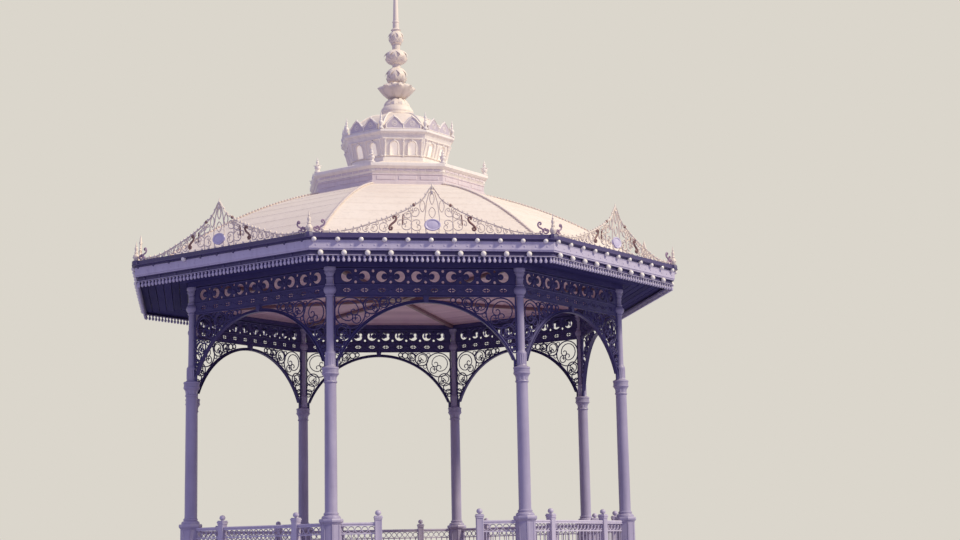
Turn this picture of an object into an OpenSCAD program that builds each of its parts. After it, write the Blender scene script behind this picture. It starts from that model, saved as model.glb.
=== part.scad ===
// Octagonal iron bandstand on a masonry base.
// All sizes are in millimetres. The origin is the middle of the octagon at ground level.
// The front bay, with the steps, faces -Y. Radii of octagons are measured to their corners.

/* [Plan] */
// Radius of the ring on which the columns stand
column_ring_r = 3950; // [3800:10:4100]
// How far the corners of the eaves stand out past the columns
eaves_over = 1080; // [950:10:1250]
// How far the corners of the masonry base stand out past the columns
base_over = 400; // [340:10:480]

/* [Base] */
// Height of the deck above the ground
deck_h = 1250; // [1000:10:1500]
// Thickness of the deck paving
deck_t = 60; // [40:5:80]
// Height of the projecting foot course
foot_h = 240; // [150:10:350]
// How far the foot course and the coping stand out from the wall
course_out = 60; // [30:5:100]
// Thickness of the coping stones
coping_t = 130; // [90:5:180]
// Number of treads below the deck
tread_count = 6; // [5:1:7]
// Depth of one tread
tread_d = 290; // [260:5:340]
// Width of the flight between its side walls
flight_w = 1560; // [1300:20:1700]
// Width of each side wall of the flight
cheek_w = 230; // [180:10:300]
// Height of the side walls at their foot
cheek_foot_h = 285; // [240:5:340]
// Length of the level part of the side walls at the deck
cheek_level = 175; // [120:5:240]
// Length of the level part of the side walls at their foot
cheek_foot_level = 175; // [120:5:240]

/* [Columns] */
// Height from the deck to the underside of the ring beam
column_h = 4850; // [4500:10:5200]
// Width of the eight-sided pedestal across its flats
pedestal_w = 300; // [260:10:340]
// How far the pedestal rises over the railing
pedestal_over = 60; // [55:5:120]
// Radius of the lower shaft
lower_shaft_r = 98; // [85:1:110]
// Radius of the upper shaft
upper_shaft_r = 60; // [50:1:72]
// Radius of the sleeve above the collar
sleeve_r = 84; // [74:1:90]
// Radius of the collar between the two shafts
collar_r = 135; // [115:1:150]
// Distance from the top of a column down to the top of its collar
collar_drop = 1580; // [1400:10:1800]
// Thickness of the collar
collar_t = 110; // [80:5:140]
// Length of the sleeve
sleeve_h = 240; // [180:10:300]
// Height of one moulding of a column
moulding = 50; // [40:2:60]
// Radius of the bulb under the capital
bulb_r = 110; // [95:1:125]
// Height of the bulb
bulb_h = 170; // [140:5:200]
// Distance from the top of a column down to the middle of its bulb
bulb_drop = 360; // [320:5:400]
// Radius of the capital at its top
capital_r = 95; // [85:1:110]

/* [Arched panels] */
// Thickness of the cast panels
panel_t = 30; // [20:1:45]
// Height of the row of rings
ring_row_h = 220; // [180:5:240]
// Number of rings in a bay
ring_count = 10; // [8:2:12]
// Distance of the row of rings from the middles of the columns
ring_row_in = 127; // [115:1:140]
// Height of the lower pierced row
lancet_row_h = 150; // [120:5:180]
// Width of a piercing in the lower row
lancet_w = 120; // [90:2:150]
// Height of a piercing in the lower row
lancet_h = 64; // [50:2:90]
// Height of the flat rails in a panel
panel_rail_h = 32; // [24:1:40]
// Width of the arch rib
arch_rib = 42; // [32:1:55]
// Gap between the crown of the arch and the rail over it
crown_gap = 40; // [25:5:60]
// Height of the upright part of the arch above the collar
arch_leg_h = 90; // [60:5:140]
// Smallest width of metal between piercings
web = 22; // [16:1:28]

/* [Railing] */
// Height of the top rail above the deck
rail_h = 880; // [840:10:960]
// Height of each flat rail of the railing
rail_w = 55; // [40:5:70]
// Gap between the deck and the railing
rail_gap = 110; // [105:5:140]
// Thickness of the railing panels
rail_t = 28; // [20:1:40]
// Width of the railing posts
post_w = 110; // [90:5:130]
// Height of the railing posts without their balls
post_h = 980; // [940:10:1080]
// Distance of the posts from the middle of a bay
post_off = 790; // [740:10:840]
// Radius of the ball on each post
post_ball_r = 48; // [40:1:55]
// Distance between the upright bars
baluster_pitch = 118; // [100:2:140]
// Width of one upright bar
baluster_w = 18; // [14:1:24]

/* [Ceiling and eaves] */
// Height of the ring beam
beam_h = 100; // [80:5:140]
// Width of the ring beam
beam_w = 170; // [140:5:220]
// Thickness of the boarding of ceiling and soffit
board_t = 25; // [18:1:35]
// Height of the ribs under the ceiling
rib_h = 60; // [40:5:80]
// Width of the ribs under the ceiling
rib_w = 70; // [50:5:90]
// Radius of the hub in the middle of the ceiling
hub_r = 320; // [260:10:380]
// Depth of the hanging lower band of the eaves
fascia_h = 140; // [100:5:200]
// Thickness of the lower band
fascia_t = 35; // [25:1:50]
// How far the lower band is set back under the face of the eaves cornice
fascia_in = 20; // [10:2:35]
// Height of the eaves cornice
cornice_h = 210; // [180:5:240]
// Height of the lip on the eaves cornice
lip_h = 40; // [30:2:50]
// How far the lip stands out past the face of the eaves cornice
lip_out = 75; // [60:5:90]
// Width of the flat ledge between the cresting and the roof sheets
ledge_w = 400; // [340:10:460]

/* [Cresting] */
// Height of the crest at the middle of each side
crest_h = 880; // [760:10:960]
// Height of the solid foot of the cresting
crest_foot_h = 70; // [50:2:80]
// Distance of the cresting from the corner of the lip
crest_in = 92; // [70:5:120]
// Distance between the piercings beside the middle of a crest
crest_pitch = 145; // [130:5:165]
// Thickness of the cresting
crest_t = 25; // [18:1:35]
// Height of the corner spikes
corner_spike_h = 400; // [320:10:480]
// Radius of the corner spikes
corner_spike_r = 60; // [50:1:75]

/* [Roof] */
// Height that the roof sheets rise from the ledge to the drum
roof_rise = 1530; // [1400:10:1650]
// How far the sheets bulge above a straight line
roof_bulge = 185; // [120:5:230]
// Thickness of the roof sheets with their boarding
roof_t = 40; // [30:1:55]
// Height of the hip battens over the sheets
hip_h = 35; // [25:1:50]
// Width of the hip battens
hip_w = 70; // [50:5:90]

/* [Drum] */
// Radius of the drum
drum_r = 1600; // [1500:10:1700]
// Height of the drum above the roof sheets
drum_h = 190; // [160:10:240]
// Thickness of the drum wall
drum_t = 60; // [40:5:80]
// Height of the drum cornice
drum_cornice_h = 180; // [150:10:220]
// How far the drum cornice stands out
drum_cornice_out = 80; // [60:5:110]
// Height of the upright face of the drum cornice
drum_face_h = 65; // [50:5:80]
// Height of the low roof on the drum
drum_roof_h = 180; // [150:10:220]
// Distance of the drum's spikes from the corners of its cornice
drum_spike_in = 64; // [60:2:80]
// Height of the spikes on the drum corners
drum_spike_h = 280; // [200:10:320]
// Radius of the spikes on the drum corners
drum_spike_r = 60; // [50:1:64]

/* [Lantern] */
// Radius of the lantern at its foot
lantern_r = 900; // [850:10:950]
// How much the lantern widens upwards
lantern_flare = 110; // [60:5:140]
// Height of the sill under the openings
sill_h = 80; // [60:5:100]
// How far the sill stands out
sill_out = 20; // [12:2:30]
// Height of the arcade
arcade_h = 370; // [330:10:420]
// Thickness of the arcade wall
arcade_t = 50; // [40:2:60]
// Width of an opening in the arcade
arcade_opening_w = 130; // [100:5:160]
// Height of an opening in the arcade
arcade_opening_h = 230; // [200:5:250]
// Distance between the middles of the two openings in a side
arcade_pitch = 320; // [290:5:340]
// Height of the cornice over the arcade
lantern_cornice_h = 110; // [90:5:140]
// How far the lantern cornice stands out
lantern_cornice_out = 60; // [40:5:80]
// Rise of the lantern roof
lantern_roof_rise = 460; // [400:10:520]
// Bulge of the lantern roof
lantern_roof_bulge = 115; // [60:5:115]
// Radius of the cap on the lantern roof
cap_r = 290; // [250:5:330]
// Height of the cap
cap_h = 190; // [160:5:220]
// Height of the small gables on the lantern
lantern_crest_h = 250; // [200:10:300]
// Width of a pair of small gables on the lantern
lantern_crest_w = 640; // [560:10:660]
// Height of the spikes on the lantern corners
lantern_spike_h = 330; // [260:10:380]
// Radius of the spikes on the lantern corners
lantern_spike_r = 45; // [34:1:50]

/* [Spire] */
// Radius of the leaf cup
cup_r = 365; // [320:5:390]
// Height of the leaf cup
cup_h = 230; // [200:5:260]
// Length of the neck under the leaf cup
cup_neck = 160; // [130:5:200]
// Radius of the bell-shaped foot of the neck
neck_r = 235; // [200:5:245]
// Radius of the lowest knob
knob1_r = 190; // [170:5:210]
// Radius of the middle knob
knob2_r = 205; // [180:5:220]
// Height of the middle knob
knob2_h = 300; // [260:5:330]
// Radius of the upper knob
knob3_r = 140; // [120:5:160]
// Distance from one knob to the next
knob_pitch = 370; // [340:5:400]
// Radius of the spire's shaft at its foot
spire_shaft_r = 72; // [60:1:85]
// Length of the shaft above the upper knob
spire_shaft_h = 1350; // [1000:10:1500]

/* [Hidden] */

sides = 8;
step_angle = 360 / sides;
// From a corner radius to the distance of the flats
flat = cos(step_angle / 2);
// From a corner radius to half the length of a side
half_side = sin(step_angle / 2);
round_fn = 64;
small_fn = 32;
// How deep one part of a casting is sunk into the next
clear = 1;

cast_iron = [0.74, 0.70, 0.80];
sheet = [0.93, 0.88, 0.82];
stone = [0.78, 0.74, 0.68];
timber = [0.50, 0.34, 0.32];

base_r = column_ring_r + base_over;
eaves_r = column_ring_r + eaves_over;
column_top = deck_h + column_h;
collar_top = column_h - collar_drop;
beam_top = column_top + beam_h;
beam_r = column_ring_r + beam_w / 2 / flat;
beam_in_r = beam_r - beam_w / flat;
cornice_z = beam_top;
cornice_top = cornice_z + cornice_h;
ledge_r = eaves_r - ledge_w;
face_r = eaves_r - lip_out;
fascia_r = face_r - fascia_in;
roof_top_z = cornice_top + roof_rise;
drum_top = roof_top_z + drum_h;
drum_cornice_top = drum_top + drum_cornice_h;
drum_cornice_r = drum_r + drum_cornice_out;
lantern_z = drum_cornice_top + drum_roof_h;
arcade_z = lantern_z + sill_h;
lantern_top = arcade_z + arcade_h;
lantern_top_r = lantern_r + lantern_flare;
lantern_cornice_top = lantern_top + lantern_cornice_h;
lantern_cornice_r = lantern_top_r + lantern_cornice_out;
cap_z = lantern_cornice_top + lantern_roof_rise;
spire_z = cap_z + cap_h;
cup_z = spire_z + cup_neck;
knob1_z = cup_z + cup_h + knob1_r;

bay_half = column_ring_r * half_side;
panel_top = column_top;
ring_row_z = panel_top - panel_rail_h - ring_row_h;
lancet_row_z = ring_row_z - panel_rail_h - lancet_row_h;
panel_low = lancet_row_z - panel_rail_h;
arch_spring = deck_h + collar_top + arch_leg_h;
arch_half = bay_half - sleeve_r - arch_rib;
arch_rise = panel_low - crown_gap - arch_rib - arch_spring;
arch_r = (arch_half * arch_half + arch_rise * arch_rise) / (2 * arch_rise);
arch_mid = arch_spring + arch_rise - arch_r;
// How far a flat panel is let into a round shaft so that its edges touch the shaft
let_in = upper_shaft_r - sqrt(upper_shaft_r * upper_shaft_r - panel_t * panel_t / 4);

// A flat octagon with its sides square to X and Y
module octagon(r) {
    rotate(step_angle / 2) circle(r = r, $fn = sides);
}

// A ring between two octagons
module octagon_ring(r_out, r_in, h) {
    linear_extrude(height = h) difference() {
        octagon(r_out);
        octagon(r_in);
    }
}

// A pointed oval of half-width rx and half-height ry, its longer way between the points
module pointed_oval(rx, ry) {
    short = min(rx, ry);
    long = max(rx, ry);
    r = (long * long + short * short) / (2 * short);
    rotate(rx > ry ? 90 : 0) intersection_for (s = [-1, 1])
        translate([s * (r - short), 0]) circle(r = r, $fn = round_fn);
}

// A ring with the outline that the children draw, mitred at the corners
module moulded_ring() {
    rotate(step_angle / 2) rotate_extrude($fn = sides) children();
}

// Place children on side number i, drawn with the side along X and facing -Y
module on_side(i) {
    rotate(step_angle * i) children();
}

// Place children at the corner that follows side number i
module on_corner(i) {
    rotate(step_angle * (i + 0.5)) children();
}

// An upright plate drawn in X and Z, with its middle at distance d from the axis
module upright(d, t) {
    translate([0, -d, 0]) rotate([90, 0, 0]) translate([0, 0, -t / 2])
        linear_extrude(height = t) children();
}

// Height of a bulged roof between two ends, with t from 0 at the eaves to 1 at the top
function bulged(z0, z1, bulge, t) = z0 + (z1 - z0) * t + 4 * bulge * t * (1 - t);

coping_in_r = column_ring_r - pedestal_w;

module base_wall() {
    color(stone) union() {
        linear_extrude(height = foot_h) octagon(base_r + course_out);
        linear_extrude(height = deck_h - coping_t) octagon(base_r);
        linear_extrude(height = deck_h - deck_t) octagon(coping_in_r);
    }
}

module coping() {
    color(stone) translate([0, 0, deck_h - coping_t])
        octagon_ring(base_r + course_out, coping_in_r, coping_t);
}

module deck() {
    color(stone) translate([0, 0, deck_h - deck_t])
        linear_extrude(height = deck_t) octagon(coping_in_r);
}

base_flat = (base_r + course_out) * flat;
wall_flat = base_r * flat;
riser_h = deck_h / (tread_count + 1);
flight_run = tread_count * tread_d;

module entry_steps() {
    color(stone) translate([-flight_w / 2, 0, 0]) rotate([90, 0, 90])
        linear_extrude(height = flight_w) union() {
            for (k = [1:tread_count])
                translate([-base_flat - (tread_count + 1 - k) * tread_d, 0])
                    square([tread_d * (tread_count + 1 - k), riser_h * k]);
            translate([-base_flat, foot_h])
                square([base_flat - wall_flat, riser_h * tread_count - foot_h]);
        }
}

module step_cheeks() {
    coping_z = deck_h - coping_t;
    foot_y = -base_flat - flight_run - tread_d;
    color(stone) for (s = [-1, 1])
        translate([s * (flight_w + cheek_w) / 2 - cheek_w / 2, 0, 0]) rotate([90, 0, 90])
            linear_extrude(height = cheek_w) polygon([
                [-base_flat, 0], [-base_flat, foot_h], [-wall_flat, foot_h],
                [-wall_flat, coping_z], [-base_flat, coping_z], [-base_flat, deck_h],
                [-base_flat - cheek_level, deck_h],
                [foot_y + cheek_foot_level, cheek_foot_h],
                [foot_y, cheek_foot_h],
                [foot_y, 0]
            ]);
}

// Width of the lower shaft at its top, as a part of its width at its foot
taper = 0.94;
pedestal_h = rail_h + pedestal_over;

// Half the outline of a turned column, its axis at x = 0 and the deck at height 0
module column_profile() {
    collar_low = collar_top - collar_t;
    sleeve_top = collar_top + sleeve_h;
    base_roll = lower_shaft_r + moulding;
    bulb_mid = column_h - bulb_drop;
    polygon([
        [0, 0],
        [lower_shaft_r, 0],
        [lower_shaft_r, pedestal_h],
        [base_roll, pedestal_h],
        [base_roll, pedestal_h + moulding],
        [lower_shaft_r, pedestal_h + moulding * 2],
        [lower_shaft_r * taper, collar_low - moulding],
        [collar_r, collar_low],
        [collar_r, collar_top],
        [sleeve_r, collar_top],
        [sleeve_r, sleeve_top],
        [upper_shaft_r, sleeve_top + moulding / 2],
        [upper_shaft_r, bulb_mid - bulb_h / 2],
        [bulb_r, bulb_mid - bulb_h / 4],
        [bulb_r, bulb_mid + bulb_h / 4],
        [upper_shaft_r, bulb_mid + bulb_h / 2],
        [upper_shaft_r, column_h - moulding * 3],
        [capital_r, column_h - moulding],
        [capital_r, column_h],
        [0, column_h]
    ]);
}

// An eight-sided block with two flats square to each of the bays beside it
module pedestal_block(w, z, h) {
    translate([0, 0, z]) cylinder(r = w / 2 / flat, h = h, $fn = sides);
}

// One column with its pedestal, about its own axis with the deck at height 0
module column_body() {
    pedestal_block(pedestal_w + moulding, 0, moulding * 2);
    pedestal_block(pedestal_w, 0, pedestal_h);
    pedestal_block(pedestal_w + moulding, rail_h + moulding / 5, pedestal_over - moulding / 5);
    rotate_extrude($fn = round_fn) column_profile();
}

// The column at the corner that follows side number i
module column(i) {
    on_corner(i) translate([0, -column_ring_r, deck_h]) column_body();
}

module column_1() { color(cast_iron) column(0); }
module column_2() { color(cast_iron) column(1); }
module column_3() { color(cast_iron) column(2); }
module column_4() { color(cast_iron) column(3); }
module column_5() { color(cast_iron) column(4); }
module column_6() { color(cast_iron) column(5); }
module column_7() { color(cast_iron) column(6); }
module column_8() { color(cast_iron) column(7); }

// Outline of the arch opening, or of the rib's upper edge when grown by the rib
module arch_shape(grow) {
    translate([0, arch_mid]) circle(r = arch_r + grow, $fn = round_fn * 2);
}

// One bay's cast panel: a row of rings, a row of pointed ovals, and an arch with pierced corners
module arch_panel_flat() {
    pitch = 2 * (bay_half - ring_row_in) / ring_count;
    ring_mid = ring_row_z + ring_row_h / 2;
    lancet_mid = lancet_row_z + lancet_row_h / 2;
    foot_z = deck_h + collar_top;
    difference() {
        translate([-bay_half, foot_z]) square([bay_half * 2, panel_top - foot_z]);
        intersection() {
            arch_shape(0);
            translate([-arch_half, foot_z]) square([arch_half * 2, arch_r]);
        }
        translate([-arch_half, foot_z]) square([arch_half * 2, arch_leg_h]);
        for (k = [0:ring_count - 1]) translate([(k - (ring_count - 1) / 2) * pitch, 0]) {
            translate([0, ring_mid]) circle(r = ring_row_h / 2 - web, $fn = small_fn);
            translate([0, lancet_mid]) pointed_oval(lancet_w / 2, lancet_h / 2);
        }
        for (k = [0:ring_count - 2], s = [-1, 1])
            translate([(k - (ring_count - 2) / 2) * pitch, ring_mid + s * (ring_row_h / 2 - web)])
                circle(r = web, $fn = small_fn);
        spandrel_holes();
        for (s = [-1, 1]) translate([s * (bay_half + let_in), deck_h]) {
            column_profile();
            mirror([1, 0]) column_profile();
        }
    }
}

// From the middle of the arch to the edges of the metal that is left round its piercings
metal_up = panel_low - web - arch_mid;
metal_r = arch_r + arch_rib + web;

// Radius of the piercing at distance x that touches the metal of the arch and of the rail
function hole_r(x) = (x * x + metal_up * metal_up - metal_r * metal_r)
    / (2 * (metal_up + metal_r));

// Distances of the piercings from the middle, each one beside the last
function hole_places(x) = hole_r(x) < web ? [] :
    concat([x], hole_places(x - hole_r(x) - hole_r(x - 2 * hole_r(x)) - web));

// Radii of the piercings that go down between the column and the arch, each one below the last,
// which touch the middle of the metal that is left between them, down to the sleeve of the column
arch_line_r = metal_r - web / 2;
leg_line_x = bay_half - upper_shaft_r - web / 2;
leg_low = deck_h + collar_top + sleeve_h - web;
function leg_z(r) = arch_mid + sqrt(pow(arch_line_r + r, 2) - pow(leg_line_x - r, 2));
function leg_radii(above) = let (r = pow(pow(above, -0.5) + pow(arch_line_r, -0.5), -2))
    r < web * 1.5 || leg_z(r) - r + web / 2 < leg_low ? [] : concat([r], leg_radii(r));

// Round piercings in the corners over the arch, from the column inwards and from there down
module spandrel_holes() {
    room = metal_up + metal_r;
    shaft_x = bay_half - upper_shaft_r - web;
    first = sqrt(room * room + metal_r * metal_r - metal_up * metal_up + 2 * room * shaft_x) - room;
    for (s = [-1, 1], x = hole_places(first))
        translate([s * x, panel_low - web - hole_r(x)]) circle(r = hole_r(x), $fn = round_fn);
    for (s = [-1, 1], r = leg_radii(hole_r(first) + web / 2))
        translate([s * (leg_line_x - r), leg_z(r)]) circle(r = r - web / 2, $fn = small_fn);
}

module arch_panel(i) {
    color(cast_iron) on_side(i) upright(column_ring_r * flat, panel_t) arch_panel_flat();
}

module arch_panel_1() { arch_panel(0); }
module arch_panel_2() { arch_panel(1); }
module arch_panel_3() { arch_panel(2); }
module arch_panel_4() { arch_panel(3); }
module arch_panel_5() { arch_panel(4); }
module arch_panel_6() { arch_panel(5); }
module arch_panel_7() { arch_panel(6); }
module arch_panel_8() { arch_panel(7); }

// Upright slots between the bars of a railing, from x0 to x1
module railing_slots(x0, x1) {
    count = max(1, round((x1 - x0 + baluster_w) / baluster_pitch));
    pitch = (x1 - x0 + baluster_w) / count;
    for (k = [0:count - 1])
        translate([x0 + k * pitch, deck_h + rail_gap + rail_w])
            square([pitch - baluster_w, rail_h - rail_gap - rail_w * 2]);
}

// Railing of one bay, as a plate with slots, left open between the posts where a way in is needed
module railing_flat(open) {
    rail_end = bay_half - pedestal_w / 2;
    gap_half = post_off - post_w / 2;
    difference() {
        translate([-rail_end, deck_h + rail_gap]) square([rail_end * 2, rail_h - rail_gap]);
        railing_slots(post_off + post_w / 2, rail_end - baluster_w);
        railing_slots(-rail_end + baluster_w, -post_off - post_w / 2);
        if (open)
            translate([-gap_half, deck_h]) square([gap_half * 2, rail_h * 2]);
        else
            railing_slots(-gap_half, gap_half);
    }
}

// Height of a ball's middle over its post, as a part of its radius
ball_seat = 0.8;

module railing_post(x) {
    translate([x, -column_ring_r * flat, deck_h]) {
        translate([-post_w / 2, -post_w / 2, 0]) cube([post_w, post_w, post_h]);
        translate([0, 0, post_h + post_ball_r * ball_seat]) sphere(r = post_ball_r, $fn = small_fn);
    }
}

module railing(i) {
    color(cast_iron) on_side(i) {
        upright(column_ring_r * flat, rail_t) railing_flat(i == 0);
        for (s = [-1, 1]) railing_post(s * post_off);
    }
}

module railing_1() { railing(0); }
module railing_2() { railing(1); }
module railing_3() { railing(2); }
module railing_4() { railing(3); }
module railing_5() { railing(4); }
module railing_6() { railing(5); }
module railing_7() { railing(6); }
module railing_8() { railing(7); }

module ring_beam() {
    color(cast_iron) translate([0, 0, column_top]) octagon_ring(beam_r, beam_in_r, beam_h);
}

module ceiling() {
    color(timber) union() {
        translate([0, 0, beam_top - board_t]) linear_extrude(height = board_t)
            octagon(beam_in_r);
        translate([0, 0, beam_top - board_t - rib_h]) linear_extrude(height = rib_h)
            intersection() {
                octagon(beam_in_r);
                union() {
                    octagon(hub_r);
                    for (i = [0:sides / 2 - 1])
                        rotate(step_angle * (i + 0.5)) square([rib_w, beam_in_r * 3], center = true);
                }
            }
    }
}

module soffit() {
    color(timber) translate([0, 0, beam_top - board_t])
        octagon_ring(fascia_r - fascia_t / flat, beam_r, board_t);
}

module fascia() {
    color(cast_iron) translate([0, 0, beam_top - board_t - fascia_h])
        octagon_ring(fascia_r, fascia_r - fascia_t / flat, fascia_h + board_t);
}

module eaves_cornice() {
    color(cast_iron) moulded_ring() polygon([
        [ledge_r, cornice_z],
        [fascia_r, cornice_z],
        [face_r, cornice_z + lip_h],
        [face_r, cornice_top - lip_h * 2],
        [eaves_r, cornice_top - lip_h],
        [eaves_r, cornice_top],
        [ledge_r, cornice_top]
    ]);
}

crest_r = eaves_r - crest_in;
crest_half = crest_r * half_side;
// Half the outline of a crest: distance from its middle and height, as parts of its height
crest_outline = [
    [0, 1], [0.05, 0.88], [0.14, 0.73], [0.24, 0.64], [0.36, 0.57], [0.5, 0.49], [0.66, 0.42],
    [0.82, 0.35], [1, 0.29], [1.15, 0.24], [1.3, 0.19], [1.45, 0.15], [1.65, 0.12], [3, 0.12]
];

// Height of the crest at distance x from its middle
function crest_z(x) = crest_h * lookup(abs(x) / crest_h, crest_outline);

// Height of a piercing at distance x, where the metal between two of them is cut off
function crest_hole_h(x) = crest_z(x + crest_pitch / 2) - crest_foot_h - web;

module crest_flat() {
    reach = crest_half - corner_spike_r * 2;
    low = [for (p = crest_outline) if (p[0] * crest_h < reach) p * crest_h];
    half = concat([[0, 0]], low, [[reach, crest_z(reach)], [reach, 0]]);
    places = floor(reach / crest_pitch) - 1;
    difference() {
        union() {
            polygon(half);
            mirror([1, 0]) polygon(half);
        }
        translate([0, crest_h / 4]) circle(r = crest_h / 8, $fn = small_fn);
        translate([0, crest_h * 5 / 8]) pointed_oval(crest_h / 20, crest_h / 6);
        for (s = [-1, 1], k = [1:places]) let (x = (k + 0.5) * crest_pitch, h = crest_hole_h(x))
            if (h > web) translate([s * x, crest_foot_h + h / 2])
                pointed_oval(min(h, crest_pitch - web) / 2, h / 2);
    }
}

// Outline of a turned spike, as parts of its radius and of its height
spike_outline = [
    [0, 0], [1, 0], [1, 0.12], [0.45, 0.2], [0.75, 0.34], [0.3, 0.5], [0.12, 1], [0, 1]
];

// A slender turned spike standing on height 0
module spike(r, h) {
    rotate_extrude($fn = small_fn) polygon([for (p = spike_outline) [p[0] * r, p[1] * h]]);
}

module cresting() {
    color(cast_iron) translate([0, 0, cornice_top]) {
        for (i = [0:sides - 1]) on_side(i) upright(crest_r * flat, crest_t) crest_flat();
        for (i = [0:sides - 1])
            on_corner(i) translate([0, -crest_r, 0]) spike(corner_spike_r, corner_spike_h);
    }
}

roof_steps = 10;
function roof_point(k, lift) = let (t = k / roof_steps) [
    ledge_r + (drum_r - ledge_r) * t,
    bulged(cornice_top, roof_top_z, roof_bulge, t) + lift
];

module roof_sheets() {
    color(sheet) moulded_ring() polygon(concat(
        [for (k = [0:roof_steps]) roof_point(k, 0)],
        [for (k = [roof_steps:-1:1]) roof_point(k, -roof_t)],
        [[ledge_r - roof_t * 2, cornice_top]]
    ));
}

module hip_battens() {
    color(cast_iron) for (i = [0:sides - 1])
        on_corner(i) rotate([90, 0, -90]) translate([0, 0, -hip_w / 2])
            linear_extrude(height = hip_w) polygon(concat(
                [for (k = [0:roof_steps]) roof_point(k, 0)],
                [for (k = [roof_steps:-1:0]) roof_point(k, hip_h)]
            ));
}

module drum_wall() {
    color(cast_iron) translate([0, 0, roof_top_z - roof_t])
        octagon_ring(drum_r, drum_r - drum_t / flat, drum_h + roof_t);
}

module drum_cornice() {
    color(cast_iron) union() {
        moulded_ring() polygon([
            [drum_r - drum_t / flat, drum_top],
            [drum_r, drum_top],
            [drum_cornice_r, drum_cornice_top - drum_face_h],
            [drum_cornice_r, drum_cornice_top],
            [drum_r - drum_t / flat, drum_cornice_top]
        ]);
        for (i = [0:sides - 1])
            on_corner(i) translate([0, -drum_cornice_r + drum_spike_in, drum_cornice_top - clear])
                spike(drum_spike_r, drum_spike_h);
    }
}

module drum_roof() {
    r_low = drum_cornice_r - drum_spike_in * 2;
    color(sheet) moulded_ring() polygon([
        [0, drum_cornice_top],
        [r_low, drum_cornice_top],
        [lantern_r + sill_out * 2, lantern_z],
        [0, lantern_z]
    ]);
}

module lantern_arcade() {
    opening_r = arcade_opening_w / 2;
    color(cast_iron) difference() {
        moulded_ring() polygon([
            [lantern_r - arcade_t * 2, lantern_z],
            [lantern_r + sill_out, lantern_z],
            [lantern_r + sill_out, arcade_z],
            [lantern_r, arcade_z],
            [lantern_top_r, lantern_top],
            [lantern_top_r - arcade_t * 2, lantern_top]
        ]);
        for (i = [0:sides - 1], s = [-1, 1])
            on_side(i) upright(lantern_r * flat, arcade_t * 8)
                translate([s * arcade_pitch / 2, arcade_z + sill_h / 2]) {
                    translate([-opening_r, 0])
                        square([arcade_opening_w, arcade_opening_h - opening_r]);
                    translate([0, arcade_opening_h - opening_r])
                        circle(r = opening_r, $fn = small_fn);
                }
    }
}

module lantern_cornice() {
    color(cast_iron) moulded_ring() polygon([
        [lantern_top_r - arcade_t * 2, lantern_top],
        [lantern_top_r, lantern_top],
        [lantern_cornice_r, lantern_top + lantern_cornice_h / 2],
        [lantern_cornice_r, lantern_cornice_top],
        [lantern_top_r - arcade_t * 2, lantern_cornice_top]
    ]);
}

// Outlines of the cap and of one half of a pair of gables, as parts of their widths and heights
cap_outline = [[1.07, 0.35], [0.98, 0.75], [0.85, 1]];
small_crest_outline = [
    [0, 0], [0, 0.42], [0.13, 0.55], [0.3, 0.82], [0.5, 1], [0.7, 0.82], [0.87, 0.55], [1, 0.42], [1, 0]
];

module lantern_roof() {
    steps = 6;
    r_low = lantern_top_r;
    color(sheet) union() {
        moulded_ring() polygon(concat(
            [[0, lantern_cornice_top]],
            [for (k = [0:steps]) let (t = k / steps) [
                r_low + (cap_r - r_low) * t,
                bulged(lantern_cornice_top, cap_z, lantern_roof_bulge, t)
            ]],
            [[0, cap_z]]
        ));
        rotate_extrude($fn = round_fn) polygon(concat(
            [[0, cap_z - clear], [cap_r, cap_z - clear]],
            [for (p = cap_outline) [p[0] * cap_r, cap_z + p[1] * cap_h]],
            [[0, spire_z]]
        ));
    }
}

module lantern_crest_flat() {
    size = [lantern_crest_w / 2, lantern_crest_h];
    for (s = [0, 1]) mirror([s, 0])
        polygon([for (p = small_crest_outline) [p[0] * size[0], p[1] * size[1]]]);
}

module lantern_crests() {
    crest_at = lantern_cornice_r - crest_t * 1.5;
    color(cast_iron) translate([0, 0, lantern_cornice_top]) {
        for (i = [0:sides - 1]) on_side(i) upright(crest_at * flat, crest_t) lantern_crest_flat();
        for (i = [0:sides - 1])
            on_corner(i) translate([0, -crest_at, 0]) spike(lantern_spike_r, lantern_spike_h);
    }
}

module spire() {
    knob2_z = knob1_z + knob_pitch;
    knob3_z = knob2_z + knob_pitch;
    shaft_z = knob3_z + knob3_r;
    tip_z = shaft_z + spire_shaft_h;
    tip_r = spire_shaft_r / 6;
    color(sheet) union() {
        rotate_extrude($fn = round_fn) polygon([
            [0, spire_z], [neck_r, spire_z], [neck_r * 0.8, spire_z + cup_neck * 0.6],
            [spire_shaft_r * 1.5, cup_z], [cup_r / 2, cup_z + cup_h / 4], [cup_r, cup_z + cup_h],
            [cup_r / 2, cup_z + cup_h], [spire_shaft_r, cup_z + cup_h * 3 / 4],
            [spire_shaft_r, shaft_z], [spire_shaft_r / 2, shaft_z + spire_shaft_h / 2],
            [tip_r, tip_z], [0, tip_z]
        ]);
        translate([0, 0, knob1_z]) sphere(r = knob1_r, $fn = round_fn);
        translate([0, 0, knob2_z]) rotate_extrude($fn = round_fn)
            intersection() {
                translate([knob2_r - knob2_h / 2, 0]) circle(r = knob2_h / 2, $fn = small_fn);
                translate([0, -knob2_h / 2]) square([knob2_r, knob2_h]);
            }
        translate([0, 0, knob3_z]) sphere(r = knob3_r, $fn = round_fn);
    }
}

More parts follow.
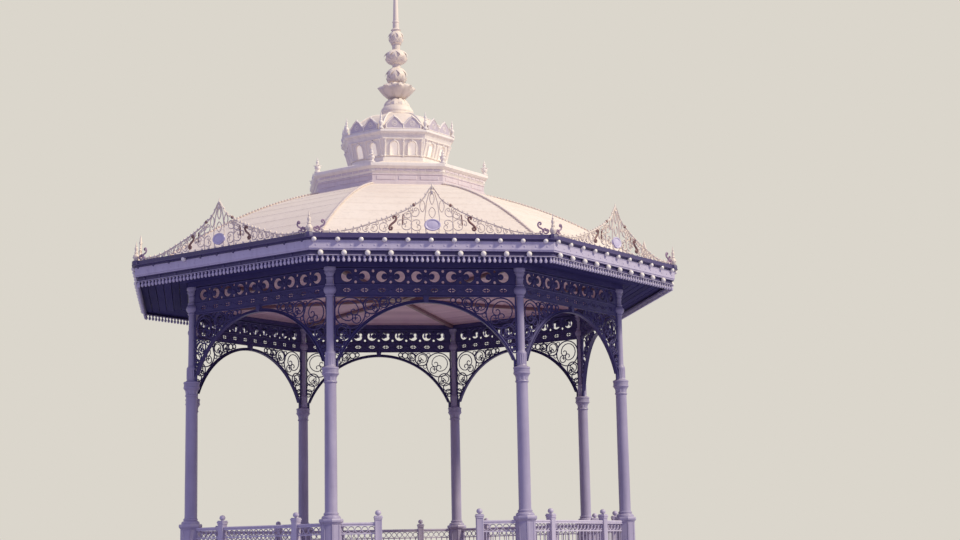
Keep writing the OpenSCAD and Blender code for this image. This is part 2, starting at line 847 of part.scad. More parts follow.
base_wall();
coping();
deck();
entry_steps();
step_cheeks();
column_1();
column_2();
column_3();
column_4();
column_5();
column_6();
column_7();
column_8();
arch_panel_1();
arch_panel_2();
arch_panel_3();
arch_panel_4();
arch_panel_5();
arch_panel_6();
arch_panel_7();
arch_panel_8();
railing_1();
railing_2();
railing_3();
railing_4();
railing_5();
railing_6();
railing_7();
railing_8();
ring_beam();
ceiling();
soffit();
fascia();
eaves_cornice();
cresting();
roof_sheets();
hip_battens();
drum_wall();
drum_cornice();
drum_roof();
lantern_arcade();
lantern_cornice();
lantern_roof();
lantern_crests();
spire();
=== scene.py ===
import math
import random

import bmesh
import bpy
from mathutils import Matrix, Vector


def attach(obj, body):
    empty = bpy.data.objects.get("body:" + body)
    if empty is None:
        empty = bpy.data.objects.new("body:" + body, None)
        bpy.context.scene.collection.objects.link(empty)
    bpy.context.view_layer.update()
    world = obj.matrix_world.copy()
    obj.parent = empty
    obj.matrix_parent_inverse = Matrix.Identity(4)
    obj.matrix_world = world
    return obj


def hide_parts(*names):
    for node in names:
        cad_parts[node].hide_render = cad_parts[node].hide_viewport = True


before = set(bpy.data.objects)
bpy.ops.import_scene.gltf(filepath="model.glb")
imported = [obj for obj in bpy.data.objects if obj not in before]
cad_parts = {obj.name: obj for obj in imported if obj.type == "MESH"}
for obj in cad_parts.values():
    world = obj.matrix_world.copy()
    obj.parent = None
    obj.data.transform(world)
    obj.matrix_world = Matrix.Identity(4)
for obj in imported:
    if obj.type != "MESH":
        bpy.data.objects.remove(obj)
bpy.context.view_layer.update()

# Base wall
# Dressed stone blocks in three courses over a projecting foot course, laid round a packed
# core. The core shows only as the mortar in the narrow joints between the blocks.
SIDES = 8
HALF_TURN = math.pi / SIDES
FLAT = math.cos(HALF_TURN)
MITRE = math.tan(HALF_TURN)
DECK_Z = 1.25
base_corner = 4.35
course_out = 0.06
foot_top = 0.24
coping_t = 0.13
joint = 0.008
ON_LINE = 1e-4


def linear(red, green, blue):
    """A colour written in the usual 0 to 255 steps, as the shader wants it."""
    steps = [value / 255 for value in (red, green, blue)]
    return tuple(((s + 0.055) / 1.055) ** 2.4 if s > 0.04 else s / 12.92 for s in steps) + (1.0,)


def put(tree, kind, sockets, **settings):
    """Add one shader node, with values or links for its sockets."""
    made = tree.nodes.new("ShaderNode" + kind)
    for key, value in settings.items():
        setattr(made, key, value)
    for key, value in sockets.items():
        if isinstance(value, bpy.types.NodeSocket):
            tree.links.new(value, made.inputs[key])
        else:
            made.inputs[key].default_value = value
    return made


def effect(name, inputs, outputs):
    """A node group with named inputs and outputs; returns its tree and its two end nodes."""
    tree = bpy.data.node_groups.new(name, "ShaderNodeTree")
    for label, value in inputs:
        socket = tree.interface.new_socket(label, in_out="INPUT", socket_type="NodeSocketFloat")
        socket.default_value = value
    for label in outputs:
        tree.interface.new_socket(label, in_out="OUTPUT", socket_type="NodeSocketFloat")
    return tree, tree.nodes.new("NodeGroupInput"), tree.nodes.new("NodeGroupOutput")


# Weather and painted shade: broad patches, upright rain streaks, fine grain, and a darkening of inner corners
# that is partly dirt and partly painted shade
weather_and_shade, w_in, w_out = effect(
    "weather_and_shade", [("Size", 1.0), ("Grain", 60.0)], ["Patches", "Streaks", "Grain", "Corners", "Edges"])
w_place = put(weather_and_shade, "TexCoord", {})
w_patches = put(weather_and_shade, "TexNoise", {"Vector": w_place.outputs["Object"], "Scale": w_in.outputs["Size"],
                                      "Detail": 6.0, "Roughness": 0.6})
w_even = put(weather_and_shade, "MapRange", {"Value": w_patches.outputs["Fac"], "From Min": 0.35, "From Max": 0.68})
w_tall = put(weather_and_shade, "Mapping", {"Vector": w_place.outputs["Object"], "Scale": (9.0, 9.0, 0.55)})
w_rain = put(weather_and_shade, "TexNoise", {"Vector": w_tall.outputs["Vector"], "Scale": 1.6, "Detail": 4.0})
w_runs = put(weather_and_shade, "MapRange", {"Value": w_rain.outputs["Fac"], "From Min": 0.48, "From Max": 0.74})
w_fine = put(weather_and_shade, "TexNoise", {"Vector": w_place.outputs["Object"], "Scale": w_in.outputs["Grain"],
                                   "Detail": 3.0})
w_shape = put(weather_and_shade, "NewGeometry", {})
# Corners: inner corners, to be darkened partly for dirt and partly as painted shade
w_corner = put(weather_and_shade, "MapRange", {"Value": w_shape.outputs["Pointiness"], "From Min": 0.49,
                                     "From Max": 0.40})
w_edge = put(weather_and_shade, "MapRange", {"Value": w_shape.outputs["Pointiness"], "From Min": 0.52,
                                   "From Max": 0.62})
for label, source in (("Patches", w_even.outputs["Result"]), ("Streaks", w_runs.outputs["Result"]),
                      ("Grain", w_fine.outputs["Fac"]), ("Corners", w_corner.outputs["Result"]),
                      ("Edges", w_edge.outputs["Result"])):
    weather_and_shade.links.new(source, w_out.inputs[label])


def mixed(tree, share, first, second):
    """The colour between two colours, at a share that a mask gives."""
    return put(tree, "Mix", {0: share, 6: first, 7: second}, data_type="RGBA").outputs[2]


def times(tree, value, factor):
    return put(tree, "Math", {0: value, 1: factor}, operation="MULTIPLY").outputs[0]


def finish_material(name, rough):
    """A new material, with its tree and its shader."""
    material = bpy.data.materials.new(name)
    material.use_nodes = True
    tree = material.node_tree
    shader = tree.nodes["Principled BSDF"]
    shader.inputs["Roughness"].default_value = rough
    return material, tree, shader


def masks_of_wear_and_shade(tree, size, grain):
    """The masks of the weather and painted shade group, for patches and grain of the given size."""
    wear_and_shade = tree.nodes.new("ShaderNodeGroup")
    wear_and_shade.node_tree = weather_and_shade
    wear_and_shade.inputs["Size"].default_value = size
    wear_and_shade.inputs["Grain"].default_value = grain
    return wear_and_shade.outputs


def bumped(tree, shader, height, strength, distance):
    bump = put(tree, "Bump", {"Height": height, "Strength": strength, "Distance": distance})
    tree.links.new(bump.outputs["Normal"], shader.inputs["Normal"])


def stone_finish(name, light, dark, stain_and_shade, size=1.3, grain=70.0):
    """Dressed stone: each block has its own tone, with patches, grain and rain streaks, and inner corners
    darkened partly by dirt and partly as painted shade.
    """
    material, tree, shader = finish_material(name, 0.85)
    wear_and_shade = masks_of_wear_and_shade(tree, size, grain)
    tone = put(tree, "Attribute", {}, attribute_name="tone").outputs["Fac"]
    block = mixed(tree, tone, light, dark)
    patched = mixed(tree, times(tree, wear_and_shade["Patches"], 0.35), block, dark)
    streaked = mixed(tree, times(tree, wear_and_shade["Streaks"], 0.35), patched, stain_and_shade)
    # Inner corners take the stain colour: dirt together with painted shade
    dirt_and_shade = mixed(tree, times(tree, wear_and_shade["Corners"], 0.6), streaked, stain_and_shade)
    speck = mixed(tree, times(tree, wear_and_shade["Grain"], 0.25), dirt_and_shade, light)
    tree.links.new(speck, shader.inputs["Base Color"])
    bumped(tree, shader, wear_and_shade["Grain"], 0.35, 0.004)
    return material


def cube(bm, low, high):
    """A box between two opposite corners."""
    made = bmesh.ops.create_cube(bm, size=1)["verts"]
    bmesh.ops.scale(bm, verts=made, vec=[b - a for a, b in zip(low, high)])
    bmesh.ops.translate(bm, verts=made, vec=[(a + b) / 2 for a, b in zip(low, high)])
    return made


def softened(bm, edges, width, segments=2):
    bmesh.ops.bevel(bm, geom=list(edges), offset=width, offset_type="OFFSET", segments=segments,
                    profile=0.5, affect="EDGES", material=-1, clamp_overlap=True)


def edges_of(verts):
    return {edge for vert in verts for edge in vert.link_edges}


def mitred(verts, out):
    """Slant the ends that lie on the corner lines of a side whose face is at distance out."""
    for vert in verts:
        if abs(abs(vert.co.x) - MITRE * out) < ON_LINE:
            vert.co.x -= math.copysign(MITRE * (out + vert.co.y), vert.co.x)


def block(bm, x0, x1, out, inner, z0, z1, edge=0.01, segments=1):
    """A block of one side, its face at distance out; an end on the corner line is mitred."""
    made = cube(bm, (x0, -out, z0), (x1, -inner, z1))
    mitred(made, out)
    softened(bm, edges_of(made), edge, segments)


def all_round(bm):
    """Repeat what stands on the front side on the seven others."""
    bmesh.ops.spin(bm, geom=bm.verts[:] + bm.edges[:] + bm.faces[:], cent=(0, 0, 0), axis=(0, 0, 1),
                   angle=14 * HALF_TURN, steps=7, use_duplicate=True)


def toned(bm, seed):
    """Give each separate block or board a tone of its own, from 0 to 1."""
    luck = random.Random(seed)
    layer = bm.faces.layers.float.new("tone")
    left = set(bm.faces)
    for start in bm.faces[:]:
        if start not in left:
            continue
        left.discard(start)
        value = luck.random()
        queue = [start]
        while queue:
            face = queue.pop()
            face[layer] = value
            for edge in face.edges:
                for other in edge.link_faces:
                    if other in left:
                        left.discard(other)
                        queue.append(other)


def piece(name, bm, finishes, stands_for=(), crease=35):
    """Make the finished piece, standing still with the rest of the building."""
    bmesh.ops.recalc_face_normals(bm, faces=bm.faces)
    mesh = bpy.data.meshes.new(name)
    bm.to_mesh(mesh)
    bm.free()
    for finish in finishes:
        mesh.materials.append(finish)
    mesh.polygons.foreach_set("use_smooth", [True] * len(mesh.polygons))
    mesh.set_sharp_from_angle(angle=math.radians(crease))
    made = bpy.data.objects.new(name, mesh)
    bpy.context.scene.collection.objects.link(made)
    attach(made, "root")
    if stands_for:
        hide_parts(*stands_for)
    return made


def shape_of(bm):
    """The mesh of a finished shape, to be joined to a piece."""
    mesh = bpy.data.meshes.new("shape")
    bm.to_mesh(mesh)
    bm.free()
    return mesh


def joined(bm, part, matrix=Matrix(), finish=0):
    """Add a finished shape, given as a mesh, to the piece in the making."""
    moved = part.copy()
    moved.transform(matrix)
    start = len(bm.faces)
    bm.from_mesh(moved)
    bpy.data.meshes.remove(moved)
    if finish:
        bm.faces.ensure_lookup_table()
        for f in bm.faces[start:]:
            f.material_index = finish


def turned(profile, steps, start=0.0, closed=False):
    """The mesh of an outline of radius and height, turned about the upright axis."""
    bm = bmesh.new()
    verts = [bm.verts.new((r * math.cos(start), r * math.sin(start), z)) for r, z in profile]
    ends = verts[1:] + verts[:1] if closed else verts[1:]
    edges = [bm.edges.new(pair) for pair in zip(verts, ends)]
    bmesh.ops.spin(bm, geom=verts + edges, cent=(0, 0, 0), axis=(0, 0, 1), angle=2 * math.pi,
                   steps=steps, use_merge=True)
    bmesh.ops.remove_doubles(bm, verts=bm.verts, dist=1e-5)
    bmesh.ops.recalc_face_normals(bm, faces=bm.faces)
    return shape_of(bm)


def octagonal(profile, closed=True):
    """A moulding round the octagon; its outline is given by the distance of the sides."""
    corners = [(distance / FLAT, z) for distance, z in profile]
    return turned(corners, SIDES, HALF_TURN, closed)


def courses(bm, out, deep, rows, length):
    """Rows of blocks along one side, the joints of each row set over the blocks of the last."""
    reach = MITRE * out
    for row, (z0, z1) in enumerate(rows):
        count = round(2 * reach / length) + row % 2
        cuts = [-reach + 2 * reach * k / count for k in range(count + 1)]
        if row % 2:
            cuts = [cuts[0]] + [c - 0.12 * length for c in cuts[1:-1]] + [cuts[-1]]
        for x0, x1 in zip(cuts, cuts[1:]):
            left = x0 if x0 == cuts[0] else x0 + joint / 2
            right = x1 if x1 == cuts[-1] else x1 - joint / 2
            block(bm, left, right, out, out - deep, z0 + joint / 2, z1 - joint / 2)


masonry = stone_finish("masonry", linear(214, 204, 190), linear(186, 174, 160), linear(120, 108, 98))
mortar = stone_finish("mortar", linear(150, 142, 134), linear(128, 120, 112), linear(90, 84, 80))

foot_deep, foot_stone = 0.16, 0.83
wall_deep, wall_stone = 0.14, 0.62
wall_rows = 3
wall = bmesh.new()
courses(wall, (base_corner + course_out) * FLAT, foot_deep, [(0, foot_top)], foot_stone)
wall_top = DECK_Z - coping_t
row_h = (wall_top - foot_top) / wall_rows
courses(wall, base_corner * FLAT, wall_deep,
        [(foot_top + k * row_h, foot_top + (k + 1) * row_h) for k in range(wall_rows)], wall_stone)
all_round(wall)
toned(wall, 3)
piece("base_blocks", wall, [masonry], ("base_wall",))

foot_core, wall_core, bed_core = 4.058, 4.006, 3.36
core_top, bed_top = 1.118, 1.188
core = bmesh.new()
joined(core, octagonal([(0, 0), (foot_core, 0), (foot_core, foot_top - 0.004), (wall_core, foot_top),
                        (wall_core, core_top), (bed_core, core_top), (bed_core, bed_top),
                        (0, bed_top)], closed=False))
piece("base_core", core, [mortar])

# Coping and deck
# Long coping stones with a rounded front edge are bedded on the wall, five to a side, and hold
# in the small square tiles of the deck.
coping_stone = stone_finish("coping_stone", linear(196, 188, 176), linear(168, 160, 150),
                            linear(104, 98, 92), grain=90.0)
coping_out = (base_corner + course_out) * FLAT
coping_in = 3.65 * FLAT
stones = 5

coping = bmesh.new()
reach = MITRE * coping_out
for k in range(stones):
    x0 = -reach + 2 * reach * k / stones + (joint / 2 if k else 0)
    x1 = -reach + 2 * reach * (k + 1) / stones - (joint / 2 if k < stones - 1 else 0)
    made = cube(coping, (x0, -coping_out, wall_top), (x1, -coping_in, DECK_Z))
    mitred(made, coping_out)
    front = [e for e in edges_of(made)
             if all(v.co.y < -coping_out + ON_LINE for v in e.verts) and
             abs(e.verts[0].co.z - e.verts[1].co.z) < ON_LINE]
    softened(coping, front, 0.028, 4)
all_round(coping)
toned(coping, 5)
piece("coping_stones", coping, [coping_stone], ("coping",))

paving, tree, shader = finish_material("deck_tiles", 0.6)
place = put(tree, "TexCoord", {}).outputs["Object"]
wear_and_shade = masks_of_wear_and_shade(tree, 2.0, 80.0)
tiles = put(tree, "TexBrick", {"Vector": place, "Color1": linear(168, 142, 128),
                               "Color2": linear(134, 112, 104), "Mortar": linear(112, 104, 98),
                               "Scale": 1.0, "Mortar Size": 0.004, "Bias": 0.0,
                               "Brick Width": 0.2, "Row Height": 0.2}, offset=0.0)
tree.links.new(mixed(tree, times(tree, wear_and_shade["Patches"], 0.4), tiles.outputs["Color"],
                     linear(122, 108, 102)), shader.inputs["Base Color"])
bumped(tree, shader, put(tree, "Math", {0: 1.0, 1: tiles.outputs["Fac"]},
                         operation="SUBTRACT").outputs[0], 0.5, 0.003)
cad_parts["deck"].material_slots[0].material = paving

# Entry steps
# Six solid stone treads with rounded nosings between two low side walls, which carry a
# sloping cap stone each. All of it stands on the ground against the base.
tread_d = 0.29
tread_count = 6
riser = DECK_Z / (tread_count + 1)
flight_half = 0.78
cheek_w = 0.23
tread_t, overlap, riser_in = 0.05, 0.03, 0.022

steps = bmesh.new()
for k in range(1, tread_count + 1):
    front = -coping_out - (tread_count + 1 - k) * tread_d
    made = cube(steps, (-flight_half, front, riser * k - tread_t),
                (flight_half, front + tread_d + overlap, riser * k))
    nose = [e for e in edges_of(made) if all(v.co.y < front + ON_LINE for v in e.verts)]
    softened(steps, nose, 0.018, 3)
    cube(steps, (-flight_half, front + riser_in, max(0, riser * (k - 1) - 0.02)),
         (flight_half, -base_corner * FLAT, riser * k - tread_t))
toned(steps, 8)
piece("step_treads", steps, [coping_stone], ("entry_steps",))

foot_y = -coping_out - tread_count * tread_d - tread_d
cheek_level, cheek_foot_h = 0.175, 0.285
cap_t, cap_over = 0.055, 0.022
outline = [(-coping_out, 0), (-coping_out, DECK_Z), (-coping_out - cheek_level, DECK_Z),
           (foot_y + cheek_level, cheek_foot_h), (foot_y, cheek_foot_h), (foot_y, 0)]
body_half = cheek_w / 2 - cap_over


def extruded(bm, corners, along):
    """A solid drawn out from a flat outline; returns the corners of both ends."""
    first = [bm.verts.new(corner) for corner in corners]
    grown = bmesh.ops.extrude_face_region(bm, geom=[bm.faces.new(first)])["geom"]
    last = [g for g in grown if isinstance(g, bmesh.types.BMVert)]
    bmesh.ops.translate(bm, vec=along, verts=last)
    return first + last


cheeks = bmesh.new()
for side in (-1, 1):
    middle = side * (flight_half + cheek_w / 2)
    lower = [(y + (0.02 if y == foot_y else 0), z - (cap_t if z > 0 else 0)) for y, z in outline]
    extruded(cheeks, [(middle - body_half, y, z) for y, z in lower], (2 * body_half, 0, 0))
    top = outline[1:5]
    under = [(y, z - cap_t) for y, z in reversed(top)]
    cap = extruded(cheeks, [(middle - cheek_w / 2, y, z) for y, z in top + under], (cheek_w, 0, 0))
    softened(cheeks, edges_of(cap), 0.01, 2)
toned(cheeks, 9)
piece("step_side_walls", cheeks, [coping_stone], ("step_cheeks",))

# Columns
# Eight cast columns, painted. Each has an eight-sided panelled pedestal, a stout lower shaft up
# to a moulded collar, a fluted sleeve, a slender upper shaft, and a leafed capital.
column_r = 3.95
column_h = 4.85


def paint(name, colour, faded, grime_and_shade, rough=0.42, size=2.2):
    """Old gloss paint on metal: slightly uneven, chalky on edges, streaked by rain, and darker in inner
    corners, partly grime and partly painted shade.
    """
    material, tree, shader = finish_material(name, rough)
    wear_and_shade = masks_of_wear_and_shade(tree, size, 140.0)
    base = mixed(tree, times(tree, wear_and_shade["Patches"], 0.5), colour, faded)
    streaked = mixed(tree, times(tree, wear_and_shade["Streaks"], 0.22), base, grime_and_shade)
    # Inner corners take the grime colour: grime together with painted shade
    dirt_and_shade = mixed(tree, times(tree, wear_and_shade["Corners"], 0.75), streaked, grime_and_shade)
    bare = mixed(tree, times(tree, wear_and_shade["Edges"], 0.35), dirt_and_shade, faded)
    tree.links.new(bare, shader.inputs["Base Color"])
    spread = put(tree, "MapRange", {"Value": wear_and_shade["Patches"], "To Min": rough - 0.06,
                                    "To Max": rough + 0.14})
    tree.links.new(spread.outputs["Result"], shader.inputs["Roughness"])
    bumped(tree, shader, wear_and_shade["Grain"], 0.12, 0.002)
    return material


shaft_paint = paint("column_paint", linear(164, 155, 182), linear(188, 180, 202), linear(94, 86, 116))

column = bmesh.new()
plinth = octagonal([(0, 0), (0.175, 0), (0.175, 0.085), (0.168, 0.1), (0.155, 0.11), (0.15, 0.12),
                    (0.15, 0.86), (0.156, 0.87), (0.168, 0.885), (0.175, 0.895), (0.175, 0.925),
                    (0.168, 0.94), (0, 0.94)], closed=False)
pedestal = bmesh.new()
joined(pedestal, plinth)
panels = [f for f in pedestal.faces if abs(f.normal.z) < 0.1 and f.calc_area() > 0.05]
bmesh.ops.inset_individual(pedestal, faces=panels, thickness=0.022, depth=-0.008)
bmesh.ops.inset_individual(pedestal, faces=panels, thickness=0.008, depth=0.005)
joined(column, shape_of(pedestal))

bulb_z = column_h - 0.36
bulb = [(0.056, 0.1), (0.07, 0.094), (0.074, 0.086), (0.07, 0.078), (0.062, 0.07), (0.078, 0.055),
        (0.092, 0.035), (0.1, 0.01)]
shaft_outline = [
    (0.098, 0.9), (0.098, 0.94), (0.148, 0.94), (0.150, 0.952), (0.146, 0.972), (0.134, 0.984),
    (0.118, 0.99), (0.112, 1.0), (0.118, 1.012), (0.116, 1.026), (0.102, 1.036), (0.098, 1.06),
    (0.0975, 1.6), (0.0955, 2.2), (0.093, 2.9), (0.092, 3.02), (0.104, 3.03), (0.108, 3.042),
    (0.104, 3.054), (0.093, 3.062), (0.093, 3.09), (0.1, 3.115), (0.115, 3.14), (0.13, 3.158),
    (0.135, 3.165), (0.135, 3.18), (0.128, 3.186), (0.128, 3.236), (0.135, 3.242), (0.135, 3.262),
    (0.128, 3.27), (0.105, 3.276), (0.09, 3.286), (0.082, 3.3), (0.079, 3.32), (0.079, 3.46),
    (0.084, 3.475), (0.084, 3.495), (0.078, 3.51), (0.066, 3.522), (0.06, 3.54), (0.058, 3.8),
    (0.0565, 4.2)]
shaft_outline += [(r, bulb_z - z) for r, z in bulb] + [(r, bulb_z + z) for r, z in reversed(bulb)]
shaft_outline += [
    (0.056, 4.66), (0.062, 4.67), (0.066, 4.68), (0.062, 4.69), (0.056, 4.7), (0.058, 4.73),
    (0.066, 4.765), (0.08, 4.795), (0.092, 4.806), (0.095, 4.812), (0.095, column_h), (0, column_h)]
joined(column, turned(shaft_outline, 28))

# Flutes of the sleeve, leaves round the bulb and under the capital
sleeve_r, sleeve_mid, flutes = 0.079, 3.39, 16


def at(x, y, z):
    """A move, to put a shape in its place."""
    return Matrix.Translation((x, y, z))


def to_corner(k):
    """The turn from the middle of the front side to corner k."""
    return Matrix.Rotation((2 * k + 1) * HALF_TURN, 4, "Z")


rib = bmesh.new()
made = bmesh.ops.create_cone(rib, cap_ends=True, segments=8, radius1=0.007, radius2=0.007, depth=0.15)
bmesh.ops.scale(rib, verts=made["verts"], vec=(0.8, 1, 1))
rib_mesh = shape_of(rib)
for k in range(flutes):
    joined(column, rib_mesh, Matrix.Rotation(2 * k * math.pi / flutes, 4, "Z") @ at(sleeve_r, 0, sleeve_mid))


def beaten(place, thick, wide_cuts=2, long_cuts=6):
    """A sheet bent as place says, for each point across (-1 to 1) and along (0 to 1) it."""
    bm = bmesh.new()
    for vert in bmesh.ops.create_grid(bm, x_segments=wide_cuts, y_segments=long_cuts, size=0.5)["verts"]:
        vert.co = Vector(place(vert.co.x * 2, vert.co.y + 0.5))
    bmesh.ops.solidify(bm, geom=bm.faces[:], thickness=thick)
    bmesh.ops.recalc_face_normals(bm, faces=bm.faces)
    return shape_of(bm)


def leaf(length, width, curl, thick=0.006):
    """A pointed leaf standing up from the origin and curling outwards (towards +x) at its tip."""
    def place(side, t):
        half = width * math.sin(math.pi * min(1, 0.15 + 0.85 * t) ** 0.8) / 2 if t < 1 else 0.001
        across = side * half
        return curl * t * t - abs(across) * 0.35, across, length * (t - 0.28 * t ** 4)

    return beaten(place, thick)


def crown(bm, part, count, radius, z, start=0.0, stand=Matrix()):
    """A ring of leaves round the axis, or round the place where something stands."""
    for k in range(count):
        spin = Matrix.Rotation(start + 2 * math.pi * k / count, 4, "Z")
        joined(bm, part, stand @ spin @ at(radius, 0, z))


crown(column, leaf(0.1, 0.045, 0.02), 10, 0.098, 3.07)
crown(column, leaf(0.075, 0.05, 0.018), 8, 0.084, bulb_z - 0.045, 0.2)
crown(column, leaf(0.12, 0.05, 0.038), 8, 0.056, 4.69)
crown(column, leaf(0.085, 0.04, 0.03), 8, 0.06, 4.70, math.pi / 8)
column_mesh = shape_of(column)
for k in range(SIDES):
    one = bmesh.new()
    joined(one, column_mesh, to_corner(k) @ at(0, -column_r, DECK_Z))
    piece("cast_column_%d" % (k + 1), one, [shaft_paint], ("column_%d" % (k + 1),))

# Ring beam
# An iron beam joins the heads of the columns and carries the ceiling and the rafters. It is
# painted dark violet, as the arched panels under it are, partly its own paint and partly painted shade.
beam_z = DECK_Z + column_h
# Dark violet: the castings' own paint, darkened further as painted shade under the eaves
casting_paint_and_shade = paint("casting_paint_and_shade", linear(68, 62, 108), linear(90, 84, 130), linear(41, 37, 68))
casting_paint_and_shade.node_tree.nodes["Principled BSDF"].inputs["Specular IOR Level"].default_value = 0.25
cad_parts["ring_beam"].material_slots[0].material = casting_paint_and_shade

# Ceiling
# Narrow tongued boards in a light reddish tone are laid parallel to the sides between eight
# darker ribs that run from a turned boss in the middle to the columns.
beam_top = beam_z + 0.1
beam_half = 0.085
board_w, board_t, boss_clear = 0.15, 0.025, 0.2


def timber_finish(name, light, dark, along, rough=0.5, shine=0.5):
    """Stained boards: grain drawn out along them, a tone for each board, dirt and painted shade in the
    joints.
    """
    material, tree, shader = finish_material(name, rough)
    shader.inputs["Specular IOR Level"].default_value = shine
    wear_and_shade = masks_of_wear_and_shade(tree, 1.6, 60.0)
    place = put(tree, "TexCoord", {}).outputs["Object"]
    drawn = put(tree, "Mapping", {"Vector": place, "Scale": along}).outputs["Vector"]
    grain = put(tree, "TexNoise", {"Vector": drawn, "Scale": 4.0, "Detail": 8.0, "Roughness": 0.65})
    tone = put(tree, "Attribute", {}, attribute_name="tone").outputs["Fac"]
    board = mixed(tree, tone, light, dark)
    lined = mixed(tree, times(tree, grain.outputs["Fac"], 0.55), board, dark)
    dusty = mixed(tree, times(tree, wear_and_shade["Patches"], 0.3), lined, light)
    # Joints and inner corners darken: dirt together with painted shade
    dirt_and_shade = mixed(tree, times(tree, wear_and_shade["Corners"], 0.7), dusty, dark)
    tree.links.new(dirt_and_shade, shader.inputs["Base Color"])
    bumped(tree, shader, grain.outputs["Fac"], 0.2, 0.003)
    return material


def boarded(bm, out, inner, width, gap):
    """Boards parallel to the side, from distance out to inner, a narrow gap between them."""
    count = round((out - inner) / width)
    step = (out - inner) / count
    for k in range(count):
        edge = out - k * (out - inner) / count
        block(bm, -MITRE * edge, MITRE * edge, edge, edge - step + gap, beam_top - board_t, beam_top, 0.005)
    all_round(bm)


ceiling_wood = timber_finish("ceiling_wood", linear(240, 203, 206), linear(204, 160, 172), (1.2, 14.0, 14.0))
rib_wood = timber_finish("rib_wood", linear(146, 108, 112), linear(106, 76, 86), (6.0, 6.0, 6.0))

beam_out = (column_r + beam_half / FLAT) * FLAT
beam_in = beam_out - 2 * beam_half
boards = bmesh.new()
boarded(boards, beam_in, boss_clear, board_w, 0.005)
toned(boards, 12)
piece("ceiling_boards", boards, [ceiling_wood], ("ceiling",))

rib_half, rib_low, rib_sunk, rib_short = 0.035, 0.085, 0.024, 0.05
boss = [(0, rib_low), (0.16, rib_low), (0.2, 0.078), (0.24, 0.06), (0.28, 0.055), (0.31, 0.045),
        (0.32, 0.03), (0.32, 0.02), (0, 0.02)]
ribs = bmesh.new()
for k in range(SIDES):
    made = cube(ribs, (-rib_half, -beam_in / FLAT + rib_short, beam_top - rib_low),
                (rib_half, -boss_clear, beam_top - rib_sunk))
    softened(ribs, edges_of(made), 0.008, 2)
    bmesh.ops.rotate(ribs, verts=ribs.verts, cent=(0, 0, 0), matrix=Matrix.Rotation(HALF_TURN * 2, 3, "Z"))
bmesh.ops.rotate(ribs, verts=ribs.verts, cent=(0, 0, 0), matrix=Matrix.Rotation(HALF_TURN, 3, "Z"))
joined(ribs, turned([(r, beam_top - down) for r, down in boss], 48))
toned(ribs, 13)
piece("ceiling_ribs", ribs, [rib_wood])

# Soffit
# The underside of the wide eaves is boarded too, parallel to each side; its dark violet colour is painted
# shade.
eaves_corner = 5.03
lip_out = 0.075
fascia_in, fascia_t = 0.02, 0.035
fascia_y = (eaves_corner - lip_out - fascia_in) * FLAT
soffit_board_w = 0.14
# Dark violet boards: painted shade under the eaves
soffit_painted_shade = timber_finish("soffit_painted_shade", linear(77, 72, 124), linear(55, 51, 95), (8.0, 8.0, 8.0),
                            rough=0.8, shine=0.08)

soffit = bmesh.new()
boarded(soffit, fascia_y - fascia_t, beam_out, soffit_board_w, 0.006)
toned(soffit, 14)
piece("soffit_boards", soffit, [soffit_painted_shade], ("soffit",))

# Eaves cornice
# A pressed sheet-iron cornice on the rafter ends: a broad flat face under a thin lip, with a row
# of small round studs. Its top is a flat ledge. The hollow and front edge of the lip and the foot
# of the face carry a dark line of painted shade.
cornice_top = 6.41
ledge_corner = 4.63
ledge_in = ledge_corner * FLAT
face_y = (eaves_corner - lip_out) * FLAT
dark_foot_z, dark_lip_z = 6.213, 6.368
DARK = 1
studs_each_way, stud_pitch, stud_z = 10, 0.179, 6.29
lying = Matrix.Rotation(math.pi / 2, 4, "X")
iron = paint("iron_paint", linear(192, 183, 204), linear(210, 202, 218), linear(108, 98, 132))
# Dark violet paint: painted shade on the eaves and at the crest's foot, and the lamp holders' paint
dark_paint_and_shade = paint("dark_and_shade_paint", linear(66, 57, 104), linear(80, 71, 118), linear(44, 38, 68))

face = bmesh.new()
joined(face, octagonal([
    (ledge_in, 6.2), (4.552, 6.2), (4.56, 6.204), (4.564, 6.215), (4.566, 6.23), (4.573, 6.236),
    (4.5779, 6.24), (4.5779, 6.345), (4.584, 6.35), (4.5855, 6.356), (4.584, 6.362), (4.5779, 6.366),
    (4.584, 6.382), (4.596, 6.39), (4.615, 6.3925), (4.6285, 6.394), (4.632, 6.397),
    (4.632, 6.406), (4.629, 6.4095), (4.624, cornice_top), (ledge_in, cornice_top)]))
# The lip's hollow and front edge and the face's foot take the dark paint: painted shade
for f in face.faces:
    middle = f.calc_center_median()
    if middle.z < dark_foot_z or dark_lip_z < middle.z < cornice_top - ON_LINE:
        f.material_index = DARK
stud = turned([(0, 0), (0.015, 0), (0.014, 0.004), (0.009, 0.005), (0.007, 0.008), (0, 0.009)], 8)
studs = bmesh.new()
for n in range(-studs_each_way, studs_each_way + 1):
    joined(studs, stud, at(n * stud_pitch, -face_y, stud_z) @ lying)
all_round(studs)
joined(face, shape_of(studs))
piece("eaves_face", face, [iron, dark_paint_and_shade], ("eaves_cornice",))

# Hanging band
# Below the face hangs a narrower band: a hollow painted dark as painted shade, then a thin rail
# with a close fringe of cast drops, open between them. The rail hangs from the rafter ends.
band = bmesh.new()
joined(band, octagonal([
    (fascia_y - 0.034, 6.2), (fascia_y - 0.034, 6.15), (fascia_y - 0.05, 6.142), (fascia_y - 0.05, 6.13),
    (fascia_y - 0.02, 6.129), (fascia_y - 0.004, 6.13), (fascia_y, 6.133), (fascia_y, 6.139),
    (fascia_y - 0.004, 6.142), (fascia_y - 0.02, 6.15), (fascia_y - 0.028, 6.165), (fascia_y - 0.03, 6.2)]))
rail_low_z, rail_high_z = 6.1315, 6.1435
